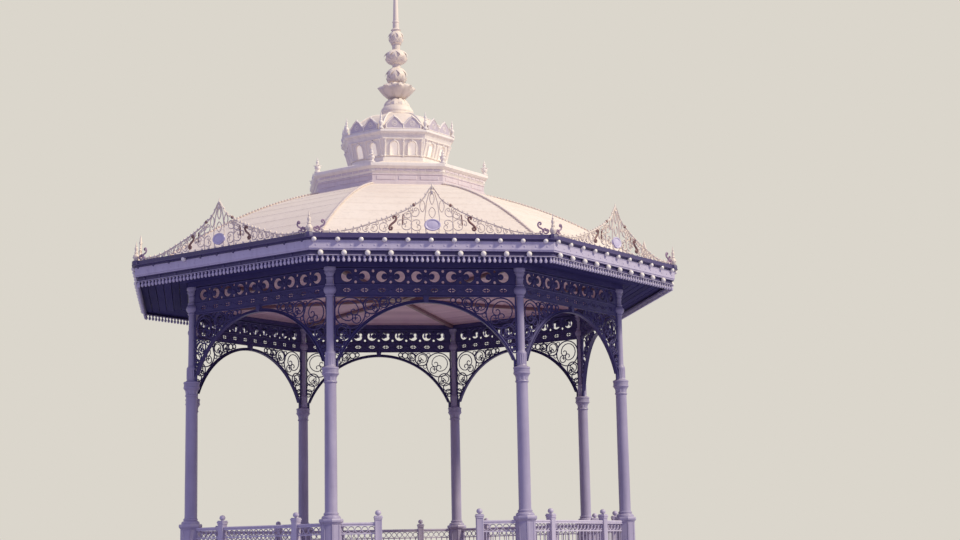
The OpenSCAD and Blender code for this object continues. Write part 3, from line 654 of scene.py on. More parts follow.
# All but the rail takes the dark paint: painted shade in the hollow
for f in band.faces:
    if not rail_low_z < f.calc_center_median().z < rail_high_z:
        f.material_index = DARK
drop = turned([(0, 0), (0.014, 0.004), (0.025, 0.028), (0.023, 0.046), (0.012, 0.066), (0.02, 0.084),
               (0.018, 0.094), (0, 0.096)], 6)
drop_pitch, drop_z, drop_in = 0.08, 6.037, 0.028
side_half = MITRE * fascia_y
drops = int(2 * side_half / drop_pitch)
hung = bmesh.new()
for k in range(drops):
    x = (k - (drops - 1) / 2) * 2 * side_half / drops
    joined(hung, drop, at(x, -fascia_y + drop_in, drop_z))
all_round(hung)
piece("fringe_drops", hung, [iron])
piece("hanging_band", band, [iron, dark_paint_and_shade], ("fascia",))

# Roof sheets
# Eight bulged panels of sheet metal on boarding, painted cream. They run up from the ledge to
# the drum in nine rows, each lapped a little over the one below.
roof_low, roof_high, bulge = cornice_top, 7.94, 0.185
drum_corner = 1.6


def roof_line(t, lift=0.0):
    """Corner radius and height of the sheets, from 0 at the ledge to 1 at the drum."""
    return (ledge_corner + (drum_corner - ledge_corner) * t,
            roof_low + (roof_high - roof_low) * t + 4 * bulge * t * (1 - t) + lift)


def sheet_finish(name, colour, faded, grime_and_shade):
    """Painted sheet metal, chalky in patches, with faint rain streaks, and inner corners darkened partly by
    grime and partly as painted shade.
    """
    material, tree, shader = finish_material(name, 0.5)
    wear_and_shade = masks_of_wear_and_shade(tree, 0.9, 50.0)
    base = mixed(tree, times(tree, wear_and_shade["Patches"], 0.55), colour, faded)
    streaked = mixed(tree, times(tree, wear_and_shade["Streaks"], 0.2), base, grime_and_shade)
    # Inner corners take the grime colour: grime together with painted shade
    dirt_and_shade = mixed(tree, times(tree, wear_and_shade["Corners"], 0.6), streaked, grime_and_shade)
    bumped(tree, shader, wear_and_shade["Grain"], 0.1, 0.003)
    spread = put(tree, "MapRange", {"Value": wear_and_shade["Patches"], "To Min": 0.42, "To Max": 0.62})
    tree.links.new(spread.outputs["Result"], shader.inputs["Roughness"])
    tree.links.new(dirt_and_shade, shader.inputs["Base Color"])
    return material


cream = sheet_finish("sheet_paint", linear(242, 227, 210), linear(248, 238, 223), linear(184, 170, 156))

roof = bmesh.new()
sheet_rows, cuts_n, lap = 9, 4, 0.003
levels = [((k + n / cuts_n) / sheet_rows, lap * (1 - n / cuts_n))
          for k in range(sheet_rows) for n in range(cuts_n + 1)]
grid = bmesh.ops.create_grid(roof, x_segments=8, y_segments=len(levels) - 1, size=0.5)["verts"]
for vert in grid:
    t, lift = levels[round((vert.co.y + 0.5) * (len(levels) - 1))]
    across = vert.co.x * 2
    radius, z = roof_line(t, lift)
    half = radius * math.sin(HALF_TURN)
    vert.co = Vector((across * half, -radius * FLAT, z))
all_round(roof)
bmesh.ops.remove_doubles(roof, verts=roof.verts, dist=1e-5)
bmesh.ops.recalc_face_normals(roof, faces=roof.faces)
bmesh.ops.solidify(roof, geom=roof.faces[:], thickness=0.03)
piece("roof_panels", roof, [cream], ("roof_sheets",), crease=12)

# Hip rolls
# The hips are covered by cast rolls, each of which looks like a string of beads that runs from
# the ledge up to the drum.
rolls = bmesh.new()
bead = turned([(0, -0.016), (0.016, -0.014), (0.027, -0.004), (0.027, 0.008), (0.018, 0.017),
               (0, 0.019)], 10)
hip_iron = paint("hip_paint", linear(222, 207, 196), linear(236, 224, 214), linear(128, 112, 108))
bead_pitch, fine_steps = 0.058, 600
length = 0.0
last = roof_line(0)
places = []
for k in range(1, fine_steps + 1):
    here = roof_line(k / fine_steps)
    length += math.dist(last, here)
    if length >= bead_pitch:
        places.append((here, math.atan2(here[1] - last[1], last[0] - here[0])))
        length = 0.0
    last = here
for (radius, z), slope in places:
    joined(rolls, bead, at(0, -radius, z + 0.014) @ Matrix.Rotation(slope, 4, "X"))
bmesh.ops.rotate(rolls, verts=rolls.verts, cent=(0, 0, 0), matrix=Matrix.Rotation(HALF_TURN, 3, "Z"))
all_round(rolls)
piece("hip_rolls", rolls, [hip_iron], ("hip_battens",))

# Arched panels
# A cast panel fills the top of each bay, bolted to the columns by its side bars: a close row of
# rings whose rolled discs leave gaps like a C, a nearly closed row with small piercings, and an
# arch whose corners hold rings that shrink towards its crown. All of it is painted dark violet,
# partly its own paint and partly painted shade under the eaves.
panel_y = column_r * FLAT
bay_half = column_r * math.sin(HALF_TURN)


def shifted(bm, along):
    bmesh.ops.translate(bm, verts=bm.verts, vec=along)


def facing(k):
    """The turn from the front side to side k."""
    return Matrix.Rotation(2 * HALF_TURN * k, 4, "Z")


def arc(x, z, r, first, last, steps):
    """Points on a circle, angles in degrees from +x towards +z."""
    angles = [math.radians(first + (last - first) * k / steps) for k in range(steps + 1)]
    return [(x + r * math.cos(a), z + r * math.sin(a)) for a in angles]


def ring(x, z, r, steps=20):
    return arc(x, z, r, 0, 360 - 360 / steps, steps - 1), True


def pointed(x, z, half_w, half_h, steps=7):
    """A closed oval with a point at each end of its longer way."""
    short, long = sorted((half_w, half_h))
    r = (long * long + short * short) / (2 * short)
    reach = math.degrees(math.asin(long / r))
    side = arc(short - r, 0, r, -reach, reach, steps)
    line = side[:-1] + [(-a, -b) for a, b in side[:-1]]
    if half_w > half_h:
        line = [(b, a) for a, b in line]
    return [(x + a, z + b) for a, b in line], True


def half_scroll(curl, wind, mouth):
    """From the back of a C at (-1, 0) up and round to its rolled end."""
    back = arc(0, 0, 1, 180, mouth, 6)
    a = math.radians(mouth)
    cx, cz = (1 - curl) * math.cos(a), (1 - curl) * math.sin(a)
    steps = 8
    for k in range(1, steps + 1):
        b = a - math.radians(wind) * k / steps
        r = curl * (1 - 0.68 * k / steps)
        back.append((cx + r * math.cos(b), cz + r * math.sin(b)))
    return back


def laid(line, x, z, size, turn=0.0, flip=1):
    """A line moved to its place on the casting."""
    a = math.radians(turn)
    return [(x + size * (flip * p * math.cos(a) - q * math.sin(a)),
             z + size * (flip * p * math.sin(a) + q * math.cos(a))) for p, q in line]


def c_scroll(x, z, size, turn=0.0, flip=1, curl=0.42, wind=250, mouth=55):
    half = half_scroll(curl, wind, mouth)
    whole = [(p, -q) for p, q in reversed(half)] + half[1:]
    return laid(whole, x, z, size, turn, flip), False


def drawn(line, strokes):
    """The mesh of a curve's settings along lines that are drawn in the plane y = 0."""
    for points, closed in strokes:
        spline = line.splines.new("POLY")
        spline.points.add(len(points) - 1)
        for point, (x, z) in zip(spline.points, points):
            point.co = (x, z, 0, 1)
        spline.use_cyclic_u = closed
    holder = bpy.data.objects.new("drawn", line)
    bpy.context.scene.collection.objects.link(holder)
    bpy.context.view_layer.update()
    mesh = bpy.data.meshes.new_from_object(holder.evaluated_get(bpy.context.evaluated_depsgraph_get()))
    mesh.transform(lying)
    bpy.data.objects.remove(holder)
    bpy.data.curves.remove(line)
    bm = bmesh.new()
    bm.from_mesh(mesh)
    bmesh.ops.remove_doubles(bm, verts=bm.verts, dist=1e-6)
    bmesh.ops.recalc_face_normals(bm, faces=bm.faces)
    for f in bm.faces:
        f.material_index = 0
    bm.to_mesh(mesh)
    bm.free()
    mesh.materials.clear()
    return mesh


def cast_bars(strokes, wide, deep):
    """Flat cast bars with chamfered edges."""
    line = bpy.data.curves.new("bars", "CURVE")
    line.dimensions = "3D"
    line.twist_mode = "Z_UP"
    line.fill_mode = "FULL"
    line.bevel_depth = wide / 2
    line.bevel_resolution = 0
    line.extrude = (deep - wide) / 2
    line.use_fill_caps = True
    return drawn(line, strokes)


def cast_plate(outlines, deep, edge=0.003):
    """A flat casting with chamfered edges: its outline, then the outlines of its piercings."""
    line = bpy.data.curves.new("plate", "CURVE")
    line.dimensions = "2D"
    line.fill_mode = "BOTH"
    line.extrude = deep / 2 - edge
    line.bevel_depth = edge
    line.bevel_resolution = 0
    line.offset = -edge
    return drawn(line, outlines)


def other_half(line):
    return [(-x, z) for x, z in reversed(line)]


def both(strokes):
    """The same lines on both halves of a side."""
    return strokes + [(other_half(line), closed) for line, closed in strokes]


def two_ended(half):
    """A turned outline that is the same above and below."""
    return half + [(r, -z) for r, z in reversed(half)]


cells_count = 10
rail_h, ring_row_h, lancet_row_h = 0.032, 0.22, 0.15
head_z = beam_z
ring_z = head_z - rail_h - ring_row_h / 2
lancet_z = head_z - 2 * rail_h - ring_row_h - lancet_row_h / 2
low_z = head_z - 3 * rail_h - ring_row_h - lancet_row_h
arch_r, arch_mid = 1.490, 4.062
arch_foot_x, arch_foot_z = 1.4066, 4.52
metal, side_in, row_in = 0.022, 0.06, 0.127
hole, ring_gap = 0.088, 0.022
pitch = 2 * (bay_half - row_in) / cells_count
side_x = bay_half - side_in
stile_x = side_x - 0.013
leg_rings = ((1.3168, 5.0838, 0.1128), (1.3654, 4.9303, 0.0642), (1.3902, 4.8408, 0.0394),
             (1.4044, 4.7841, 0.0252))

rib_r = arch_r + 0.021
foot_angle = math.degrees(math.acos(arch_foot_x / rib_r))
arch_rib = [([(arch_foot_x, arch_foot_z)] + arc(0, arch_mid, rib_r, foot_angle, 180 - foot_angle, 44)
             + [(-arch_foot_x, arch_foot_z)], False)]
arch_edge = [(arc(0, arch_mid, arch_r - 0.006, foot_angle + 1, 179 - foot_angle, 44), False)]
rail_lines = [([(-side_x, z), (side_x, z)], False)
              for z in (head_z - rail_h / 2, head_z - rail_h * 1.5 - ring_row_h, low_z + rail_h / 2)]
closed_rows = [([(-side_x, low_z), (side_x, low_z), (side_x, head_z), (-side_x, head_z)], True)]
cells = [(k - (cells_count - 1) / 2) * pitch for k in range(cells_count)]
relief = []
between = [(k - cells_count / 2) * pitch for k in range(1, cells_count)]
for x in cells:
    closed_rows += [ring(x, ring_z, hole, 24), pointed(x, lancet_z, 0.06, 0.032)]
    relief += [ring(x, ring_z, 0.099, 24), pointed(x, lancet_z, 0.108, 0.058)]
petals = [([(x, lancet_z - 0.036), (x, lancet_z + 0.036)], False) for x in cells]
petals += [([(x - 0.045, lancet_z), (x + 0.045, lancet_z)], False) for x in cells]
for x in between:
    closed_rows += [ring(x, ring_z + hole, ring_gap, 10), ring(x, ring_z - hole, ring_gap, 10)]
stile = [([(stile_x, 4.6), (stile_x, head_z)], False)]

up_room = low_z - metal - arch_mid
round_room = arch_r + 0.042 + metal
room = up_room + round_room


def hole_r(x):
    """Radius of the round hole at x that touches both the rail and the arch."""
    return (x * x + up_room ** 2 - round_room ** 2) / (2 * room)


x = math.sqrt(room ** 2 + round_room ** 2 - up_room ** 2 + 2 * room * (side_x - metal)) - room
circles = []
while hole_r(x) > metal:
    r = hole_r(x)
    circles.append((x, low_z - metal - r, r + metal / 2))
    x -= r + hole_r(x - 2 * r) + metal
spandrel = [ring(a, b, r, 28 if r > 0.1 else 18) for a, b, r in circles]
small = []
# Between two rings: one small ring under the rail, one that touches both and the arch
for (a0, b0, r0), (a1, b1, r1) in zip(circles, circles[1:]):
    r = 1 / (r0 ** -0.5 + r1 ** -0.5) ** 2
    small.append(ring(a0 - 2 * math.sqrt(r0 * r), low_z - metal / 2 - r, r * 0.88, 12))
    bends = (1 / r0, 1 / r1, 1 / (round_room - metal / 2))
    spots = (complex(a0, b0), complex(a1, b1), complex(0, arch_mid))
    k0, k1, k2 = bends
    z0, z1, z2 = spots
    bend = sum(bends) + 2 * math.sqrt(k0 * k1 + k1 * k2 + k2 * k0)
    root = (k0 * k1 * z0 * z1 + k1 * k2 * z1 * z2 + k2 * k0 * z2 * z0) ** 0.5
    ends = [(k0 * z0 + k1 * z1 + k2 * z2 + 2 * s * root) / bend for s in (1, -1)]
    spot = min(ends, key=lambda q: abs(abs(q - z2) - (round_room - metal / 2 + 1 / bend)))
    small.append(ring(spot.real, spot.imag, 0.85 / bend, 12))
spandrel += [ring(a, b, r + metal / 2, 18) for a, b, r in leg_rings]
curls = []
for a, b, r in circles[:3] + [leg_rings[0]]:
    curls.append(c_scroll(a + 0.1 * r, b + 0.12 * r, r * 0.66, 225, 1, 0.46, 330, 40))
    curls.append(c_scroll(a - 0.42 * r, b - 0.42 * r, r * 0.28, 45, 1, 0.5, 250))

panel = bmesh.new()
joined(panel, cast_plate(closed_rows, 0.02))
for lines, wide, deep in (
        (arch_rib, 0.042, 0.056), (arch_edge, 0.012, 0.074), (rail_lines, rail_h, 0.044),
        (both(stile), 0.026, 0.044), (relief, 0.01, 0.032), (petals, 0.02, 0.014),
        (both(spandrel), 0.02, 0.03), (both(small), 0.012, 0.024), (both(curls), 0.016, 0.026)):
    joined(panel, cast_bars(lines, wide, deep))
disc = turned(two_ended([(0, -0.012), (0.01, -0.017), (0.018, -0.01), (0.034, -0.008), (0.043, -0.014),
                         (0.05, -0.01)]), 16)
disc_off = 0.042
for k, x in enumerate(cells):
    joined(panel, disc, at(x - disc_off if k % 2 else x + disc_off, 0, ring_z) @ lying)
knob = turned([(0, -0.014), (0.008, -0.012), (0.014, 0), (0.008, 0.012), (0, 0.014)], 8)
for x in between:
    joined(panel, knob, at(x, 0, ring_z) @ Matrix.Scale(1.9, 4))
    joined(panel, knob, at(x, 0, lancet_z) @ Matrix.Scale(1.6, 4))
bolt = turned(two_ended([(0, -0.03), (0.008, -0.028), (0.011, -0.022)]), 8)
bolt_heights = (4.7, 4.95, 5.2, 5.45, 5.7, 5.958)
for side in (-1, 1):
    for z in bolt_heights:
        joined(panel, bolt, at(side * stile_x, 0, z) @ lying)
key_low, key_high, key_taper = 5.54, 5.66, 0.68
key = cube(panel, (-0.05, -0.036, key_low), (0.05, 0.036, key_high))
for vert in key:
    vert.co.x *= key_taper if vert.co.z < (key_low + key_high) / 2 else 1
softened(panel, edges_of(key), 0.008, 2)
shifted(panel, (0, -panel_y, 0))
panel_mesh = shape_of(panel)
for k in range(SIDES):
    one = bmesh.new()
    joined(one, panel_mesh, facing(k))
    piece("arch_casting_%d" % (k + 1), one, [casting_paint_and_shade], ("arch_panel_%d" % (k + 1),))

# Railing
# Each bay has a cast railing: a rounded hand rail over a row of small rings, turned bars below,
# and two square posts with balls. In the front bay it is open between the posts.
rail_end = bay_half - 0.15
post_x, post_half = 0.79, 0.055
run_from_post = 0.05
bar_foot, rail_ring_z, bar_pitch = 0.16, 0.7715, 0.108
bar = turned([(0, 0), (0.012, 0), (0.012, 0.012), (0.008, 0.02), (0.008, 0.2), (0.015, 0.212),
              (0.015, 0.228), (0.008, 0.24), (0.008, 0.52), (0.012, 0.53), (0.012, 0.545), (0, 0.545)], 6)
post = bmesh.new()
made = cube(post, (-post_half, -post_half, 0), (post_half, post_half, 0.93))
softened(post, edges_of(made), 0.006, 1)
sides_of_post = [f for f in post.faces if abs(f.normal.z) < 0.1 and f.calc_area() > 0.05]
bmesh.ops.inset_individual(post, faces=sides_of_post, thickness=0.02, depth=-0.006)
for half, z0, z1 in ((0.062, 0, 0.07), (0.06, 0.915, 0.94), (0.066, 0.94, 0.965), (0.058, 0.965, 0.98)):
    softened(post, edges_of(cube(post, (-half, -half, z0), (half, half, z1))), 0.006, 2)
post_mesh = shape_of(post)
ball = turned([(0, 0.975), (0.024, 0.978), (0.02, 0.99), (0.034, 0.996)]
              + [(0.048 * math.cos(math.radians(a)), 1.022 + 0.044 * math.sin(math.radians(a)))
                 for a in range(-40, 90, 13)] + [(0, 1.066)], 16)


def railing_run(bm, x0, x1):
    """Rails, rings and bars from x0 to x1."""
    hand = [(-0.03, 0.825), (-0.03, 0.835), (-0.024, 0.845), (-0.034, 0.853), (-0.034, 0.868),
            (-0.022, 0.88)]
    low = [(-0.02, 0.11), (-0.024, 0.118), (-0.024, 0.155), (-0.016, 0.165)]
    middle = [(-0.014, 0.7), (-0.014, 0.718)]
    for half in (hand, low, middle):
        extruded(bm, [(x0, y, DECK_Z + z) for y, z in half + other_half(half)], (x1 - x0, 0, 0))
    count = max(1, round((x1 - x0) / bar_pitch))
    spots = [x0 + (k + 0.5) * (x1 - x0) / count for k in range(count)]
    for x in spots:
        joined(bm, bar, at(x, 0, DECK_Z + bar_foot))
    joined(bm, cast_bars([ring(x, DECK_Z + rail_ring_z, 0.046, 14) for x in spots], 0.012, 0.022))


for k in range(SIDES):
    one = bmesh.new()
    for side in (-1, 1):
        for part in (post_mesh, ball):
            joined(one, part, at(side * post_x, 0, DECK_Z))
    railing_run(one, -rail_end, -post_x - run_from_post)
    railing_run(one, post_x + run_from_post, rail_end)
    if k:
        railing_run(one, -post_x + run_from_post, post_x - run_from_post)
    shifted(one, (0, -panel_y, 0))
    bmesh.ops.rotate(one, verts=one.verts, cent=(0, 0, 0), matrix=facing(k).to_3x3())
    piece("cast_railing_%d" % (k + 1), one, [iron], ("railing_%d" % (k + 1),))

# Eaves lamps
# Two rows of round opal lamps stand in small holders on the eaves: one under the lip, one in the
# hollow over the drops, which is painted dark as shade. Some have gone, nearly all of them on
# the side left of the front.
opal, tree, shader = finish_material("opal_lamp", 0.18)
wear_and_shade = masks_of_wear_and_shade(tree, 8.0, 60.0)
tree.links.new(mixed(tree, times(tree, wear_and_shade["Patches"], 0.3), linear(250, 244, 232), linear(232, 222, 206)),
               shader.inputs["Base Color"])
tree.links.new(times(tree, wear_and_shade["Grain"], 0.3), shader.inputs["Roughness"])
lamp_pitch, middle_lamp = 0.358, 5
globe = turned([(0, -1)] + [(math.cos(math.radians(a)), math.sin(math.radians(a)))
                            for a in range(-72, 73, 18)] + [(0, 1)], 14)
collar = turned([(0, 0), (0.03, 0), (0.03, 0.006), (0.024, 0.012), (0.024, 0.018), (0, 0.018)], 10)
# Each row: height, face, radius, how far a lamp stands out, shift along the side, and number
lamp_rows = ((6.372, face_y, 0.0395, 0.0293, -0.03, 11), (6.17, fascia_y - 0.03, 0.044, 0.04, 0.07, 10))
front_side, left_side, far_sides = 0, 7, (4, 5)
front_gone, left_kept = (1, 4), (0, 3)
globes, holders = bmesh.new(), bmesh.new()
for k in range(SIDES):
    spin = facing(k)
    for row, (z, y, lamp_r, off, shift, count) in enumerate(lamp_rows):
        for n in range(count):
            x = (n - middle_lamp) * lamp_pitch + shift
            gone = ((k == front_side and (row, n) == front_gone)
                    or (k == left_side and (row, n) != left_kept)
                    or (k in far_sides and (3 * n + row) % 7 == 2))
            joined(holders, collar, spin @ at(x, -y + 0.002, z) @ lying)
            if not gone:
                joined(globes, globe, spin @ at(x, -y - off, z) @ Matrix.Scale(lamp_r, 4))
piece("lamp_globes", globes, [opal])
piece("lamp_holders", holders, [dark_paint_and_shade])

# Cresting
# Pierced cast cresting stands on the ledge of every side, on a solid foot painted dark as a
# painted shadow line, with white knobs: a low run that rises in a curve to a tall middle, filled
# with scrolls round a shield painted lilac as painted shade. The largest scrolls are picked out in
# umber and mauve, and a turned spike stands on each corner.
crest_h, crest_foot = 0.88, 0.07
low_share, edge_in = 0.12, 0.011
crest_corner = eaves_corner - 0.092
crest_y = crest_corner * FLAT
crest_reach = crest_corner * math.sin(HALF_TURN) - 0.12
crest_outline = [(0, 1), (0.05, 0.88), (0.14, 0.73), (0.24, 0.64), (0.36, 0.57), (0.5, 0.49),
                 (0.66, 0.42), (0.82, 0.35), (1, 0.29), (1.15, 0.24), (1.3, 0.19), (1.45, 0.15),
                 (1.65, low_share), (3, low_share)]
umber = paint("umber_paint", linear(128, 92, 92), linear(150, 116, 110), linear(72, 52, 58))
mauve = paint("mauve_paint", linear(156, 128, 152), linear(180, 156, 174), linear(96, 78, 96))
lilac = paint("lilac_paint", linear(208, 200, 222), linear(220, 213, 230), linear(136, 126, 150))
crest_paint = paint("crest_paint", linear(232, 218, 200), linear(242, 230, 214), linear(164, 148, 138))


def s_scroll(x, z, size, turn=0.0, flip=1, curl=0.42, wind=250, mouth=55):
    half = [(p + 1, q) for p, q in half_scroll(curl, wind, mouth)]
    whole = [(-p, -q) for p, q in reversed(half)] + half[1:]
    return laid(whole, x, z, size, turn, flip), False


def crest_z(x):
    """Height of the crest's edge at distance x from its middle."""
    t = abs(x) / crest_h
    for (t0, h0), (t1, h1) in zip(crest_outline, crest_outline[1:]):
        if t <= t1:
            return crest_h * (h0 + (h1 - h0) * (t - t0) / (t1 - t0))
    return crest_h * low_share


edge_half = [(crest_h * t, crest_h * h - edge_in) for t, h in crest_outline[1:-1]]
edge_half.append((crest_reach, crest_h * low_share - edge_in))
edge_line = [(other_half(edge_half) + [(0, crest_h * 0.93)] + edge_half, False)]
filigree = both([
    pointed(0.15, 0.5, 0.04, 0.095), c_scroll(0.27, 0.405, 0.07, 60, 1, 0.45, 300),
    c_scroll(0.245, 0.2, 0.085, 350, -1, 0.5, 300), c_scroll(0.4, 0.21, 0.085, 15, 1, 0.5, 300),
    c_scroll(0.38, 0.365, 0.055, 60, 1, 0.5, 280), s_scroll(0.48, 0.28, 0.05, 96),
    c_scroll(0.54, 0.345, 0.03, 60, 1, 0.5, 260), c_scroll(0.75, 0.165, 0.068, 200, 1, 0.5, 280),
    c_scroll(0.73, 0.262, 0.032, 150, 1, 0.5, 260), c_scroll(0.9, 0.15, 0.055, 20, 1, 0.5, 280),
    c_scroll(1.03, 0.138, 0.045, 200, 1, 0.5, 280), c_scroll(1.14, 0.125, 0.034, 20, 1, 0.5, 280),
    c_scroll(1.23, 0.112, 0.024, 200, 1, 0.5, 260), ring(0.85, 0.225, 0.02, 10), ring(0.98, 0.2, 0.014, 10),
    ring(0.665, 0.29, 0.024, 10), ring(0.345, 0.44, 0.02, 10),
    ([(0.1, crest_foot), (0.115, 0.3), (0.085, 0.56), (0.04, 0.72)], False),
    ([(0.205, crest_foot), (0.2, 0.12)], False), ([(0.32, crest_foot), (0.322, 0.3), (0.3, 0.47)], False)])
filigree += [pointed(0, 0.4, 0.05, 0.085), pointed(0, 0.62, 0.035, 0.1), ring(0, 0.76, 0.02, 10)]
low_run = [ring(s * (1.36 + 0.048 * n), 0.08, 0.016, 8) for s in (-1, 1) for n in range(7)]
brown = both([([(0.64, 0.168), (0.622, 0.152), (0.632, 0.128), (0.658, 0.124), (0.672, 0.145), (0.66, 0.18),
                (0.632, 0.21), (0.6, 0.235), (0.572, 0.262), (0.557, 0.293), (0.562, 0.324), (0.588, 0.335),
                (0.606, 0.317), (0.596, 0.293)], False)])
ends = both([s_scroll(1.69, 0.175, 0.05, 78, 1, 0.5, 260), c_scroll(1.775, 0.13, 0.04, 250, -1, 0.5, 260)])

crest = bmesh.new()
foot_x = crest_reach + 0.07
foot_line = [(-foot_x, 0), (foot_x, 0), (foot_x, crest_foot), (-foot_x, crest_foot)]
brown_bars = both([([(0.465, 0.2), (0.452, 0.37)], False)])
LILAC, UMBER, MAUVE, WHITE = range(2, 6)
# The foot takes the dark paint: a painted shadow line along the ledge
joined(crest, cast_plate([(foot_line, True)], 0.036, 0.004), finish=DARK)
for lines, wide, deep, finish in (
        (edge_line, 0.024, 0.034, 0), (filigree, 0.017, 0.026, 0), (low_run, 0.01, 0.022, 0),
        (brown, 0.034, 0.044, UMBER), (brown_bars, 0.02, 0.03, UMBER), (ends, 0.026, 0.034, MAUVE)):
    joined(crest, cast_bars(lines, wide, deep), finish=finish)
knob_x, knob_step, low_knob_step, low_from = 0.1, 0.075, 0.12, 0.8
while knob_x < crest_reach:
    for side in (-1, 1):
        joined(crest, knob, at(side * knob_x, 0, crest_z(knob_x) + 0.006) @ Matrix.Scale(1.3, 4))
    knob_x += low_knob_step if knob_x > low_from else knob_step
for side in (-1, 1):
    joined(crest, knob, at(side * 0.285, 0, 0.515) @ Matrix.Scale(2.0, 4), UMBER)
    for n in range(12):
        joined(crest, knob, at(side * (0.075 + n * 0.15), -0.004, crest_foot + 0.012)
               @ Matrix.Scale(1.45, 4), WHITE)
shield = turned([(0, -0.02), (0.05, -0.024), (0.085, -0.016), (0.1, -0.026), (0.112, -0.026), (0.12, -0.014),
                 (0.12, 0.01), (0, 0.01)], 24)
# The shield is painted lilac: painted shade on it
joined(crest, shield, at(0, 0, 0.205) @ Matrix.Diagonal((1.08, 1, 0.78, 1))
       @ Matrix.Rotation(-math.pi / 2, 4, "X"), LILAC)
spear = turned([(0, 0.68), (0.014, 0.685), (0.028, 0.71), (0.032, 0.73), (0.022, 0.75), (0.012, 0.76),
                (0.018, 0.78), (0.02, 0.795), (0.012, 0.82), (0, 0.88)], 10)
joined(crest, spear)
shifted(crest, (0, -crest_y, cornice_top))
all_round(crest)
piece("crest_castings", crest, [crest_paint, dark_paint_and_shade, lilac, umber, mauve, cream],
      ("cresting",))

spike = turned([(0, 0), (0.058, 0), (0.06, 0.008), (0.06, 0.03), (0.05, 0.042), (0.034, 0.05), (0.029, 0.07),
                (0.035, 0.09), (0.05, 0.115), (0.054, 0.14), (0.048, 0.165), (0.032, 0.185), (0.025, 0.197),
                (0.034, 0.208), (0.026, 0.22), (0.021, 0.245), (0.029, 0.272), (0.023, 0.3), (0.012, 0.315),
                (0.018, 0.328), (0.01, 0.345), (0.004, 0.4), (0, 0.4)], 14)
spike_foot = turned([(0, 0), (0.07, 0), (0.07, 0.06), (0.062, 0.072), (0.05, 0.078), (0, 0.078)],
                    SIDES, HALF_TURN)
spike_leaf, spike_leaves = leaf(0.085, 0.05, 0.03), 6
spikes = bmesh.new()
for k in range(SIDES):
    around = to_corner(k) @ at(0, -crest_corner, cornice_top)
    joined(spikes, spike, around)
    # The spike's foot takes the dark paint: the painted shadow line along the ledge
    joined(spikes, spike_foot, around, DARK)
    crown(spikes, spike_leaf, spike_leaves, 0.034, 0.075, stand=around)
piece("corner_spikes", spikes, [crest_paint, dark_paint_and_shade])

# Drum
# A low eight-sided drum of moulded sheet over the top of the roof, with small blocks under its
# cornice and a stout leafed spike on each corner. A shallow sheet roof leads up to the lantern.
drum_paint = paint("drum_paint", linear(242, 234, 225), linear(246, 237, 227), linear(164, 150, 152))
# The wall is painted a darker lilac cream than its cornice: painted shade under the cornice
drum_wall_shade_paint = paint("drum_wall_shade_paint", linear(214, 200, 204), linear(226, 214, 216), linear(146, 132, 142))
drum_y = drum_corner * FLAT
drum_z, drum_top, drum_cap = 7.90, 8.13, 8.31
drum_out = 1.68 * FLAT

drum = bmesh.new()
joined(drum, octagonal([
    (drum_y - 0.06, drum_z), (drum_y + 0.02, drum_z), (drum_y + 0.02, 7.985), (drum_y + 0.012, 7.995),
    (drum_y, 8.0), (drum_y, 8.1), (drum_y + 0.008, 8.105), (drum_y + 0.012, 8.115),
    (drum_y + 0.008, 8.125), (drum_y, drum_top), (drum_y - 0.06, drum_top)]))
side = MITRE * drum_y
field_half = side * 0.26
fields = bmesh.new()
for n in range(3):
    x = (n - 1) * side * 0.62
    made = cube(fields, (x - field_half, -drum_y - 0.008, 8.018), (x + field_half, -drum_y + 0.01, 8.085))
    softened(fields, edges_of(made), 0.006, 1)
for n in range(-4, 5):
    x = n * side * 2 / 9.6
    made = cube(fields, (x - 0.055, -drum_y - 0.03, 8.17), (x + 0.055, -drum_y - 0.015, 8.208))
    softened(fields, edges_of(made), 0.004, 1)
all_round(fields)
joined(drum, shape_of(fields))
piece("drum_wall_sheets", drum, [drum_wall_shade_paint], ("drum_wall",))

brow = bmesh.new()
joined(brow, octagonal([
    (drum_y - 0.06, drum_top), (drum_y + 0.004, drum_top), (drum_y + 0.01, 8.15), (drum_y + 0.02, 8.16),
    (drum_y + 0.022, 8.205), (drum_y + 0.04, 8.215), (drum_y + 0.06, 8.235), (drum_out - 0.008, 8.245),
    (drum_out, 8.252), (drum_out, 8.296), (drum_out - 0.006, 8.304), (drum_out - 0.014, drum_cap),
    (drum_y - 0.06, drum_cap)]))
drum_spike_r = 1.616
drum_leaf = leaf(0.15, 0.07, 0.045, 0.008)
for k in range(SIDES):
    around = to_corner(k) @ at(0, -drum_spike_r, drum_cap - 0.004)
    joined(brow, spike, around @ Matrix.Diagonal((1.0, 1.0, 0.7, 1)))
    crown(brow, drum_leaf, spike_leaves, 0.028, 0.03, stand=around)
piece("drum_cornice_sheets", brow, [drum_paint], ("drum_cornice",))
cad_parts["drum_roof"].material_slots[0].material = cream

# Lantern
# The lantern leans outwards and has two narrow arched windows of opal glass in each side,
# between small half-round shafts, under a cornice of its own. The glass glows faintly, a painted
# light that stands in for daylight shining through it.
arcade_z, lantern_top, lid_top = 8.57, 8.94, 9.05
lantern_corner, lid_corner = 1.01, 1.07
lean = 0.11 * FLAT / 0.37
opening_half, opening_h, opening_z, opening_x = 0.065, 0.23, 8.61, 0.16
window_top = opening_z + opening_h - opening_half
shell_y = 0.9 * FLAT


def leaning(bm):
    """Lean what stands upright at the foot of the lantern as its wall leans."""
    for vert in bm.verts:
        vert.co.y -= (vert.co.z - arcade_z) * lean


